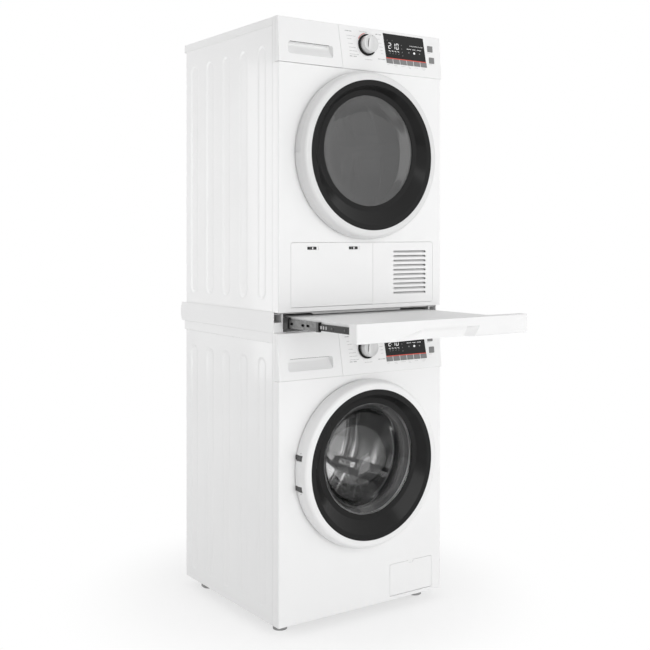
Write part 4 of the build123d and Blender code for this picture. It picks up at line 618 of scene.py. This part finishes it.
def display_signs(m):
    """Digits, lamps and captions on the display's glass."""
    signs, faint = Shape(), Shape()
    left = WINDOW_X[0] - SLANT * (SIGNS_V - KEY_V)
    for k, sign in enumerate("210"):
        digit(signs, sign, left + 15 + 13.4 * k + (2.2 if k else 0), 75.5, 10.4, 18.5)
    for v in (81, 88.5):
        signs.prism(oblong(left + 27.6, v, 1.6, 1.6, 0.5, 2), *SIGN_FILM)
    # a row of marks under the digits, with a faint lamp under each
    for k in range(4):
        x = left + 19 + 11.2 * k
        signs.prism(oblong(x, 69.5, 6.2, 1.5, 0.5, 2), *SIGN_FILM)
        signs.prism(oblong(x + 2.2, 67.2, 1.8, 1.2), *SIGN_FILM)
        faint.prism(oblong(x + 1.5, 62.0, 2.6, 2.6, 1.2, 3), *FAINT_FILM)
    # faint lamps to the right of the digits and above them
    for k in range(4):
        faint.prism(oblong(left + 65.5 + 1.4 * k, 90 - 10.5 * k, 2.4, 3.2, 1.1, 3), *FAINT_FILM)
    for k in range(2):
        faint.prism(oblong(left + 12 + 19 * k, 101, 2.2, 2.2, 1.0, 3), *FAINT_FILM)
    # captions on the glass, the first of them underlined
    row(signs, left + 98, 92.5, 52, 0.9, 7, FAINT_FILM)
    signs.prism(oblong(left + 124, 90.6, 52, 0.35), *FAINT_FILM)
    for x, width, seed in ((86, 17, 3), (109, 11, 29), (127, 15, 51)):
        row(signs, left + x, 81.5, width, 2.0, seed, FAINT_FILM)
    # three round status lamps: the middle one is lit
    for x, sign, scale in ((94, faint, 0.62), (115, signs, 1.0), (136, faint, 0.62)):
        lamp = [(left + x + a * 4.0 * scale, 70.5 + b * 3.4 * scale) for a, b in polygon(1.0, 18)]
        sign.prism(lamp, *SIGN_FILM)
    signs.piece(m.body("display_signs"), "root", [DIGIT], m.face, "display_glass")
    faint.piece(m.body("display_faint_signs"), "root", [FAINT], m.face, "display_glass")


def display_frame(m):
    """The bevelled dark border inside the window's edge, and the red line above the keys."""
    border = Shape()
    outer = leaning(WINDOW_X[0] + 0.4, WINDOW_X[1] - 0.4, WINDOW_V[0] + 0.4, WINDOW_V[1] - 0.4)
    inner = leaning(WINDOW_X[0] + 1.6, WINDOW_X[1] - 1.6, WINDOW_V[0] + 1.4, WINDOW_V[1] - 1.4)
    points = [(x, v, h) for h in (0.0, 0.22) for x, v in outer + inner]
    faces = []
    for i in range(4):
        j = (i + 1) % 4
        faces += [[8 + i, 8 + j, 12 + j, 12 + i], [i, j, 8 + j, 8 + i], [4 + j, 4 + i, 12 + i, 12 + j]]
    border.add(points, faces)
    border.piece(m.body("display_border"), "root", [BLACK], m.face, "display_glass")
    strip = leaning(WINDOW_X[0] + 0.2, WINDOW_X[1] - 0.2, 45.3, 47.7)
    line = Shape().prism(strip, -0.3, 0.55, 0, 0.2)
    line.piece(m.body("display_red_line"), "root", [RED], m.face, "display_glass")


CAPTIONS = (
    # x and height from the knob's centre, length, height of the row, bold
    (-78, 36, 24, 2.6, True), (-26, 39, 28, 1.7, False), (-72, 22, 32, 1.7, False),
    (-70, 13, 17, 1.7, False), (-67, -1, 16, 1.7, False), (-65, -12, 25, 1.7, False),
    (-64, -22, 28, 1.7, False), (-64, -32, 34, 1.7, False), (-64, -38, 25, 2.6, True),
    (-9, -43, 27, 1.6, False), (35, 37, 21, 2.6, True), (40, 23, 9, 1.5, False),
    (45, 11, 11, 1.5, False), (47, 0, 13, 1.5, False), (51, -10, 10, 1.5, False),
    (52, -20, 10, 1.5, False), (40, -37, 29, 2.4, True),
)


def captions(m):
    """Plain bars for the captions round the knob and under the keys, and the dial's marks."""
    plain, bold = Shape(), Shape()
    for k, (x, v, width, height, heavy) in enumerate(CAPTIONS):
        target = bold if heavy else plain
        row(target, KNOB_X + x, KNOB_V + v, width, height, 13 * k + 5)
    for k in range(KEY_COUNT):
        x = WINDOW_X[0] + k * KEY_PITCH + 2
        row(plain, x, 26.2, 9 + 4 * (k % 3), 1.2, 17 * k + 3)
        if k % 2:
            row(plain, x + 4, 22.6, 8, 1.2, 7 * k + 1)
    for x, v in SIDE_PRINT:
        row(plain, x, v, 14, 1.3, int(x) % 50)
    for y, x in polygon(38.5, 16):
        plain.prism(oblong(KNOB_X + x, KNOB_V + y, 1.1, 1.1, 0.5, 2), *PRINT_FILM)
    plain.piece(m.body("panel_captions"), "root", [PRINT], m.face, "white_cover")
    bold.piece(m.body("panel_headings"), "root", [PRINT_BOLD], m.face, "white_cover")


def knob(m):
    """Silver knob on a dark skirt, with a raised thumb bar and a dished face.

    It is made about the Y axis, with heights towards -Y, and then set on the panel.
    """
    turn = m.face @ Matrix.Translation((KNOB_X, KNOB_V, 0)) @ Matrix.Rotation(-math.pi / 2, 4, "X")
    bar_turn = Matrix.Rotation(math.radians(-80), 4, "Y")
    body = Shape()
    skirt = [(0.5, 0.8), (31.2, 0.8), (32, 1.4), (32, 4.6), (31.4, 5.4), (26.6, 5.8)]
    body.rings([(r, -h) for r, h in skirt], 96, 1)
    grip = [(26.6, 5.8), (26.4, 21.5), (26.1, 23.2), (25.2, 24.5), (23.8, 25.0), (21.8, 25.0),
            (21.0, 24.3), (12, 22.9), (0.4, 22.4)]
    body.rings([(r, -h) for r, h in grip], 96, 0)
    # thumb bar across the face: a ridge with sloping flanks, narrower and lower at its ends
    bar = Shape()
    foot = 22.0
    section = [(-9.6, foot), (-8.4, 24.4), (-7.4, 25.0), (3.0, 25.0), (6.0, 24.2), (9.6, foot)]
    stations = ((-22.5, 0.55), (-20.5, 1.0), (0.0, 1.0), (20.5, 1.0), (22.5, 0.55))
    points = []
    for s, squeeze in stations:
        points += [(s, -(foot + (h - foot) * squeeze), w * squeeze) for w, h in section]
    faces = []
    n = len(section)
    for k in range(len(stations) - 1):
        faces += [[k * n + i, k * n + i + 1, (k + 1) * n + i + 1, (k + 1) * n + i] for i in range(n - 1)]
    faces += [list(range(n)), [(len(stations) - 1) * n + i for i in reversed(range(n))]]
    bar.add(points, faces)
    body.placed(bar, bar_turn)
    # pointer line at the bar's end, and a dark strip along its left foot, painted shade of the bar's flank
    pointer_and_shade = Shape().box((22.2, 25.0), (-25.06, -24.4), (-0.5, 0.5), 1)
    pointer_and_shade.box((-19.0, 19.0), (-23.6, -22.2), (9.6, 11.4), 1)
    body.placed(pointer_and_shade, bar_turn)
    made = body.piece(m.body("knob_cap"), m.body("knob"), [SILVER, BLACK], turn, "knob_silver", 28)
    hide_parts(m.body("knob"))
    # red arc on the bezel, to the left of its top
    section = [(33.9, -1.55), (33.9, -1.85), (35.7, -1.85), (35.7, -1.55)]
    arc = Shape().rings(section, 24, 0, True, span=(-62, -12))
    arc.piece(m.body("knob_red_arc"), "root", [RED], turn, "white_cover")


def painted_grip_shade(m, drawer):
    """A dark strip along the upper edge of a drawer's grip: painted shade under the grip's overhang."""
    gap = Shape().prism(oblong(*GRIP_SHADE, 0.6, 3), -3.0, -0.7)
    gap.piece(m.body("grip_painted_shade"), drawer, [DARK], m.face, "white_cover")


def panels():
    # dark strips of painted shade along the grips' upper edges
    painted_grip_shade(WASHER, "washer_drawer")
    painted_grip_shade(DRYER, "dryer_water_tank")
    for m in (WASHER, DRYER):
        display_signs(m)
        display_frame(m)
        captions(m)
        knob(m)


# ---- doors and drums ------------------------------------------------------------------------
def washer_glass():
    """Pressed bowl with a rolled flange, a bent shoulder and a flat bottom."""
    y0 = EYE_Y + STEP_T + GAP
    outer = smooth_profile([(EYE_R - 0.6, y0), (EYE_R - 0.6, y0 + 3.7), (163.3, y0 + 3.9),
                            (153.5, -14), (BOWL_R, 4), (BOWL_R - 7, 28), (BOWL_R - 30, 63),
                            (BOWL_R - 58, 84), (BOWL_R - 92, 91.5), (0.4, 91.9)])
    inner = smooth_profile([(0.4, 88.0), (BOWL_R - 93, 87.6), (BOWL_R - 61, 80.5), (BOWL_R - 34, 60),
                            (BOWL_R - 11, 26), (BOWL_R - 4, 3), (149.4, -14), (159.0, y0 + 0.3)])
    shape = Shape().rings(outer + inner, 128, 0, True, z=WASHER.axis_z)
    made = shape.piece("washer_bowl", "washer_door", [WASHER_GLASS], slot="bowl_glass", angle=50)
    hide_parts("washer_door_glass")


def dryer_glass():
    """Smoked disc whose middle is pressed in to a shallow dish."""
    y0 = EYE_Y + STEP_T + GAP
    outer = smooth_profile([(EYE_R - 0.6, y0), (EYE_R - 0.6, y0 + 3.7), (160, y0 + 3.9), (148, -16),
                            (136, -11), (112, -6), (60, -1.4), (0.4, 0.0)])
    inner = smooth_profile([(0.4, -4.0), (60, -5.4), (110, -10.2), (133, -15.0), (146, -20.0),
                            (157, y0 + 0.4), (165, y0)])
    shape = Shape().rings(outer + inner, 128, 0, True, z=DRYER.axis_z)
    made = shape.piece("dryer_glass_disc", "dryer_door", [DRYER_GLASS], slot="smoked_glass", angle=50)
    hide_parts("dryer_door_glass")


def gasket():
    """Moulded bellows: rounded folds, a lip on the glass and a bead round the mouth."""
    lip = [(148.6, -4), (145.5, 0.5), (144.8, 4.6), (150, 7)]
    inner_folds = [(157.2, 9), (154.6, 16), (154.2, 21), (160, 25), (165.4, 29), (158, 35), (156.4, 40),
                   (160, 45), (165.4, 48)]
    tub_end = [(165.6, 60.8), (172.8, 60.9)]
    outer_folds = [(173.4, 45), (168, 40.5), (163, 37.4), (169, 32), (173.4, 28), (170, 21.5),
                   (163, 17.5), (163, 12.6), (170, 11.8)]
    bead = [(175, 11.2), (175.2, 2), (168, 0.9), (160, 0.4), (152.4, -1.2)]
    outline = lip + inner_folds + tub_end + outer_folds + bead
    shape = Shape().rings(smooth_loop(outline, 4), 120, 0, True, z=WASHER.axis_z)
    made = shape.piece("washer_bellows", "root", [RUBBER], slot="grey_rubber", angle=60)
    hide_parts("washer_gasket")


def perforated(radius, y, rows, count, hole, out):
    """A drum wall of rectangular cells, each with a dimple of radius hole and depth out."""
    shape = Shape()
    step = 2 * math.pi / count
    pitch = (y[1] - y[0]) / rows
    ring = polygon(1.0, 8, 22.5)
    # the cell's edge: eight points, and then its four corners
    edge = [(1, 0.42), (0.42, 1), (-0.42, 1), (-1, 0.42), (-1, -0.42), (-0.42, -1), (0.42, -1),
            (1, -0.42)]
    corner = [(1, 1), (-1, 1), (-1, -1), (1, -1)]
    faces = [[k, (k + 1) % 8, 8 + (k + 1) % 8, 8 + k] for k in range(8)]
    faces += [[8 + k, 8 + (k + 1) % 8, 16 + (k + 1) % 8, 16 + k] for k in range(8)]
    faces += [[0, 24, 1], [2, 25, 3], [4, 26, 5], [6, 27, 7]]

    def at(u, w, r):
        return (r * math.sin(u), w, r * math.cos(u))
    for j in range(rows):
        for i in range(count):
            u = (i + (0.5 if j % 2 else 0.0)) * step
            w = y[0] + (j + 0.5) * pitch
            low = hole * 0.8
            points = [at(u + a * step / 2, w + b * pitch / 2, radius) for a, b in edge]
            points += [at(u + a * hole / radius, w + b * hole, radius) for a, b in ring]
            points += [at(u + a * low / radius, w + b * low, radius + out) for a, b in ring]
            points += [at(u + a * step / 2, w + b * pitch / 2, radius) for a, b in corner]
            shape.add(points, faces)
    return shape


def washer_inside():
    """The washer's drum: dimpled wall, pressed rear wall, rolled rim, and dark discs on its lifters,
    painted shade in place of their holes.
    """
    z = Matrix.Translation((0, 0, WASHER.axis_z))
    wall = Shape().placed(perforated(radius=234.2, y=(86, 372), rows=22, count=84, hole=3.0, out=1.1), z)
    wall.piece("washer_drum_wall", "washer_drum", [STEEL], slot="stainless", weld=0.01)
    # rear wall: pressed rays and rings
    back = Shape()
    profile = smooth_profile([(229, 381.6), (214, 378), (196, 380.6), (120, 380.9), (108, 376),
                              (96, 380.9), (40, 381), (30, 374), (0.4, 372)], 4)
    back.rings(profile, 96, 0, z=WASHER.axis_z)
    for k in range(12):
        if k % 4 != 2:
            ray = Shape().prism(oblong(0, 155, 13, 62, 6.4, 4), 0, 3.6, 0, 2.2)
            lean = Matrix.Rotation(math.pi / 2, 4, "X")
            spin = Matrix.Rotation(math.radians(30 * k), 4, "Y")
            back.placed(ray, z @ Matrix.Translation((0, 381.2, 0)) @ spin @ lean)
    back.piece("washer_drum_back", "washer_drum", [STEEL], slot="stainless")
    # rolled rim round the drum's mouth, and a row of dark discs along each lifter, painted shade in place
    # of its holes
    rim = Shape()
    rim.rings([(171.2, 71.4), (172.8, 70.4), (174.6, 71.4), (174.4, 73.8)], 120, 0, z=WASHER.axis_z)
    rim.piece("washer_drum_rim", "washer_drum", [STEEL], slot="stainless", angle=60)
    # dark discs of painted shade, not cut holes
    caps = Shape()
    for k in range(3):
        spin = Matrix.Rotation(math.radians(60 + 120 * k), 4, "Y")
        for j in range(9):
            hole = Shape().prism(polygon(4, 10), 0, 0.35)
            caps.placed(hole, z @ spin @ Matrix.Translation((0, 118 + 28 * j, -191.6)))
    caps.piece("washer_lifter_hole_shade", "washer_drum", [DARK], slot="stainless")


def dryer_inside():
    """The dryer's drum: beads round its wall, and its rear wall with rings of dark discs, painted shade in
    place of its vent holes.
    """
    z = DRYER.axis_z
    ribs = Shape()
    for y in (90, 130, 270, 400, 440):
        bead = [(276.2, y - 7), (272.6, y - 3), (272.2, y), (272.6, y + 3), (276.2, y + 7)]
        ribs.rings(smooth_profile(bead, 3), 96, 0, z=z)
    ribs.piece("dryer_drum_beads", "dryer_drum", [DRYER_STEEL], slot="stainless", angle=60)
    back = Shape()
    profile = [(268, 502.4), (240, 498), (222, 500), (90, 500.6), (78, 495), (62, 494), (0.4, 492)]
    back.rings(smooth_profile(profile, 4), 96, 0, z=z)
    back.piece("dryer_drum_back", "dryer_drum", [DRYER_BACK], slot="stainless", angle=60)
    # the vents are dark discs of painted shade, not cut holes
    vents = Shape()
    lean = Matrix.Rotation(math.pi / 2, 4, "X")
    for ring, count in ((108, 28), (126, 32), (144, 36), (162, 42), (180, 46), (198, 50)):
        for k in range(count):
            spin = Matrix.Rotation(2 * math.pi * (k + ring % 4 * 0.25) / count, 4, "Y")
            hole = Shape().prism(oblong(0, ring, 7.6, 7.6, 3.8, 3), 0, 0.5)
            vents.placed(hole, Matrix.Translation((0, 500.2, z)) @ spin @ lean)
    vents.piece("dryer_drum_vents", "dryer_drum", [DRYER_VENT_SHADE], slot="stainless")


def filter_weave():
    """Woven mesh in the lint filter's windows, inside its frame and below the dryer's mouth."""
    frame_w, mouth_down, pitch, wire = 8, 182, 3, 0.3
    low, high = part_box("dryer_lint_filter")
    weave = Shape()
    y = (low.y + high.y) / 2 / MM - PLANE_Y / MM
    x0, x1 = low.x / MM + frame_w, high.x / MM - frame_w
    z0, z1 = low.z / MM + frame_w, DRYER.axis_z - mouth_down
    for k in range(int((x1 - x0) / pitch)):
        x = x0 + pitch * (k + 0.5)
        weave.box((x - wire, x + wire), (y - 0.5, y), (z0, z1))
    for k in range(int((z1 - z0) / pitch)):
        z = z0 + pitch * (k + 0.5)
        weave.box((x0, x1), (y, y + 0.5), (z - wire, z + wire))
    weave.piece("dryer_filter_weave", "dryer_lint_filter", [MESH], slot="tub_plastic")


# ---- stacking kit ---------------------------------------------------------------------------
def screw(shape, x, y, z, radius, normal):
    """A pan-head screw on a face with this normal, with a dark cross in slot 1, painted shade in place of
    a cut cross recess.
    """
    head = Shape()
    r = radius
    profile = smooth_profile([(r, 0), (r, 0.35 * r), (0.7 * r, 0.6 * r), (0.3, 0.66 * r)], 3)
    head.rings([(ring, -h) for ring, h in profile], 20)
    # the cross: dark bars of painted shade through the head's top, where the recess would be
    for w, d in ((0.9, 0.22), (0.22, 0.9)):
        head.box((-w * r / 2, w * r / 2), (-0.70 * r, -0.5 * r), (-d * r / 2, d * r / 2), 1)
    turn = Vector((0, -1, 0)).rotation_difference(Vector(normal)).to_matrix().to_4x4()
    shape.placed(head, Matrix.Translation((x, y, z)) @ turn)


def slides():
    """Bearing balls, stops, end buffers and screws of the telescopic slides."""
    low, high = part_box("slide_middle")
    front = (low.y - PLANE_Y) / MM
    web = high.x / MM
    zc = KIT_Z + SLIDE_UP
    clasp = [(-9.4, -13.4), (0.3, -13.4), (0.3, 13.4), (-9.4, 13.4), (-9.4, 9.4), (-1.4, 9.4),
             (-1.4, -9.4), (-9.4, -9.4)]
    n = len(clasp)
    clasp_faces = [list(range(n)), [n + i for i in reversed(range(n))]]
    clasp_faces += [[i, (i + 1) % n, n + (i + 1) % n, n + i] for i in range(n)]
    fixed, middle, inner = Shape(), Shape(), Shape()
    for side in (-1, 1):
        out, inward = (side, 0, 0), (-side, 0, 0)
        for k in range(12):
            for dz in (-14.4, 14.4):
                middle.ball((side * (web - 0.2), 20 + 15.5 * k, zc + dz), 1.5)
        # rubber stop in the fixed member's mouth
        fixed.box(sorted((side * (web - 6.4), side * (web + 2.5))), (-1.5, 8), (zc - 15.5, zc + 15.5), 1)
        for y in (60, 180, 300, 420):
            screw(fixed, side * (web + 2.6), y, zc, 4.2, inward)
        # the middle member's front end: a black buffer that clasps both lips
        ends = [(side * (web + x), y, zc + z) for y in (front - 3.2, front + 7.0) for x, z in clasp]
        middle.add(ends, clasp_faces, 1)
        # raised lines along its web
        line_x = sorted((side * (web - 0.1), side * (web + 0.35)))
        for dz in (-7.0, 7.0):
            middle.box(line_x, (front + 10, 0), (zc + dz - 0.8, zc + dz + 0.8))
        # light marks and screws on the inner member, which rides with the shelf
        skin = side * (web - 4.0)
        mark_x = sorted((skin, skin + side * 0.3))
        for y, length in ((front - 10, 8), (front - 22, 6), (front - 34, 5)):
            inner.box(mark_x, (y - length / 2, y + length / 2), (zc - 4.2, zc + 4.2), 2)
        for y in (front - 62, front - 120, front - 172):
            screw(inner, skin, y, zc, 3.4, out)
    fixed.piece("slide_fixed_fittings", "root", [ZINC, DARK], slot="slide_zinc")
    middle.piece("slide_middle_fittings", "slide_middle", [ZINC, DARK], slot="slide_zinc")
    inner.piece("slide_inner_fittings", "shelf", [ZINC, DARK, PRINT], slot="slide_black")


def kit_details():
    rear_y = (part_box("kit_frame")[1].y - PLANE_Y) / MM - KIT_BULGE
    shape = Shape()
    for x in (-250, -120, 0, 120, 250):
        screw(shape, x, rear_y, KIT_Z + 27, 4.0, TO_WALL)
    shape.piece("kit_screws", "root", [ZINC, DARK], slot="kit_steel")


# ---- cabinet sides --------------------------------------------------------------------------
RIB_COUNT = 5
RIB_WIDTH = 47.6        # the pressed ribs of the cabinets' sides, between their walls
RIB_PITCH = 103.0
RIB_FIRST = 90.0        # front rib's middle from the front panel
RIB_ENDS = (33.0, 72.0)     # from the cabinet's bottom and from the top cover's upper face
RIB_SLOPE = ((0.0, 0.05), (2.0, 0.15), (4.5, 0.8), (7.0, 1.45), (9.0, 1.58))    # inset and depth


def stadium(width, low, high, inset, steps=12):
    """Points round an upright slot, each as a pair of Y offset and height."""
    r = width / 2 - inset
    points = []
    for centre, start in ((high - width / 2, 0), (low + width / 2, 180)):
        for i in range(steps + 1):
            a = math.radians(start + 180 * i / steps)
            points.append((r * math.cos(a), centre + r * math.sin(a)))
    return points


def rib_slopes():
    """The soft slopes from the side sheet down to each rib's floor."""
    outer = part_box("washer_cabinet")[1].x / MM
    for m in (WASHER, DRYER):
        shape = Shape()
        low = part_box(m.body("cabinet"))[0].z / MM + RIB_ENDS[0]
        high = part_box(m.body("top_cover"))[1].z / MM - RIB_ENDS[1]
        for side in (-1, 1):
            for k in range(RIB_COUNT):
                y = RIB_FIRST + k * RIB_PITCH
                points = [(side * (outer - depth), y + u, v) for inset, depth in RIB_SLOPE
                          for u, v in stadium(RIB_WIDTH, low, high, inset)]
                n = len(points) // len(RIB_SLOPE)
                faces = [[j * n + i, j * n + (i + 1) % n, (j + 1) * n + (i + 1) % n, (j + 1) * n + i]
                         for j in range(len(RIB_SLOPE) - 1) for i in range(n)]
                shape.add(points, faces)
        shape.piece(m.body("side_rib_slopes"), "root", [ENAMEL], slot="white_enamel", angle=60)


# ---- rear and small things ------------------------------------------------------------------
def rear_screws():
    """Screws of both rear walls, of the dryer's round duct cover and of the service cover."""
    shape = Shape()
    for m in (WASHER, DRYER):
        for x in (-285, 285):
            for share in (0.05, 0.28, 0.52, 0.76, 0.97):
                z = m.z0 + 12 + share * (m.top - m.z0 - 70)
                screw(shape, x, BACK_Y, z, 4.0, TO_WALL)
        for x in (-200, 0, 200):
            screw(shape, x, BACK_Y, m.z0 + 14, 4.0, TO_WALL)
    for dz, x in polygon(205, 16):
        screw(shape, x, BACK_Y + 6, DRYER.axis_z + dz, 3.6, TO_WALL)
    for x in (-140, 0, 165):
        for z in (WASHER.z0 + 140, WASHER.z0 + 600):
            screw(shape, x, BACK_Y + 4, z, 3.6, TO_WALL)
    shape.piece("rear_screws", "root", [ZINC, DARK], slot="hinge_zinc")


def transport_caps():
    """Caps over the holes of the washer's transport bolts."""
    caps = Shape()
    profile = [(19, 0), (19, 2.2), (17.6, 3.4), (6, 3.8), (5, 2.4), (0.4, 2.2)]
    for x in (-225, 225):
        for z in (WASHER.z0 + 250, WASHER.z0 + 520):
            caps.rings([(r, BACK_Y + h) for r, h in profile], 40, 0, x=x, z=z)
    caps.piece("transport_caps", "root", [TUB], slot="tub_plastic")


def rear_connectors():
    """Thread of the water inlet, barbs of the drain spigot, and nuts of the cable glands."""
    spigots = Shape()
    inlet_z = WASHER.top - INLET_DOWN
    for k in range(5):
        y = BACK_Y + 3 + 2.1 * k
        spigots.rings([(13.1, y - 0.9), (14.0, y), (13.1, y + 0.9)], 40, 0, x=INLET_X, z=inlet_z)
    drain_z = WASHER.top - DRAIN_DOWN
    for k in range(3):
        y = BACK_Y + 7 + 5 * k
        spigots.rings([(10.9, y - 0.2), (12.2, y), (10.9, y + 4.2)], 40, 0, x=DRAIN_X, z=drain_z)
    lean = Matrix.Rotation(-math.pi / 2, 4, "X")
    for z in (WASHER.top - WASHER_GLAND_DOWN, DRYER.z0 + DRYER_GLAND_UP):
        nut = Shape().prism(polygon(12.5, 6), 0, 5.0, 0, 0.8)
        spigots.placed(nut, Matrix.Translation((GLAND_X, BACK_Y, z)) @ lean)
    spigots.piece("rear_connector_details", "root", [DARK], slot="grey_rubber")


def dryer_lower_panel():
    """Louvre blades behind the grille's slots, and the ribs of the two slide latches."""
    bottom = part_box("dryer_cabinet")[0].z / MM
    blades = Shape()
    pitch = (SLOT_Z[1] - SLOT_Z[0]) / SLOT_COUNT
    for k in range(SLOT_COUNT):
        z = bottom + SLOT_Z[0] + (k + 0.5) * pitch
        section = [(3.1, z - 4.6), (8.6, z + 0.8), (8.2, z + 1.5), (3.1, z - 3.4)]
        points = [(x, y, h) for x in (SLOT_X[0] + 1, SLOT_X[1] - 1) for y, h in section]
        sides = [[i, (i + 1) % 4, 4 + (i + 1) % 4, 4 + i] for i in range(4)]
        blades.add(points, [[3, 2, 1, 0], [4, 5, 6, 7], *sides])
    blades.piece("dryer_louvre_blades", "root", [ENAMEL], slot="white_enamel")
    ribs = Shape()
    latch_z = bottom + LATCH_Z
    for x in LATCH_X:
        for dx in (-9.0, 1.5):
            ribs.box((x + dx - 1.8, x + dx + 1.8), (-0.9, 0.6), (latch_z - 3.2, latch_z + 3.2))
    ribs.piece("dryer_latch_ribs", "dryer_flap_latches", [COVER], slot="white_cover")


def feet():
    """Ribs round the rubber pads of the washer's feet."""
    shape = Shape()
    for x in (-FOOT_X, FOOT_X):
        for y in (FOOT_INSET, BACK_Y - FOOT_INSET):
            for k in range(24):
                spin = Matrix.Rotation(math.radians(15 * k), 4, "Z")
                rib = Shape().box((19.4, 20.6), (-1.1, 1.1), (0.6, 7.2))
                shape.placed(rib, Matrix.Translation((x, y, 0)) @ spin)
    shape.piece("foot_ribs", "root", [FOOT], slot="foot_grey")


dress_nodes()
camera()
floor()
studio()
panels()
washer_glass()
dryer_glass()
gasket()
washer_inside()
dryer_inside()
filter_weave()
slides()
kit_details()
rib_slopes()
rear_screws()
transport_caps()
rear_connectors()
dryer_lower_panel()
feet()
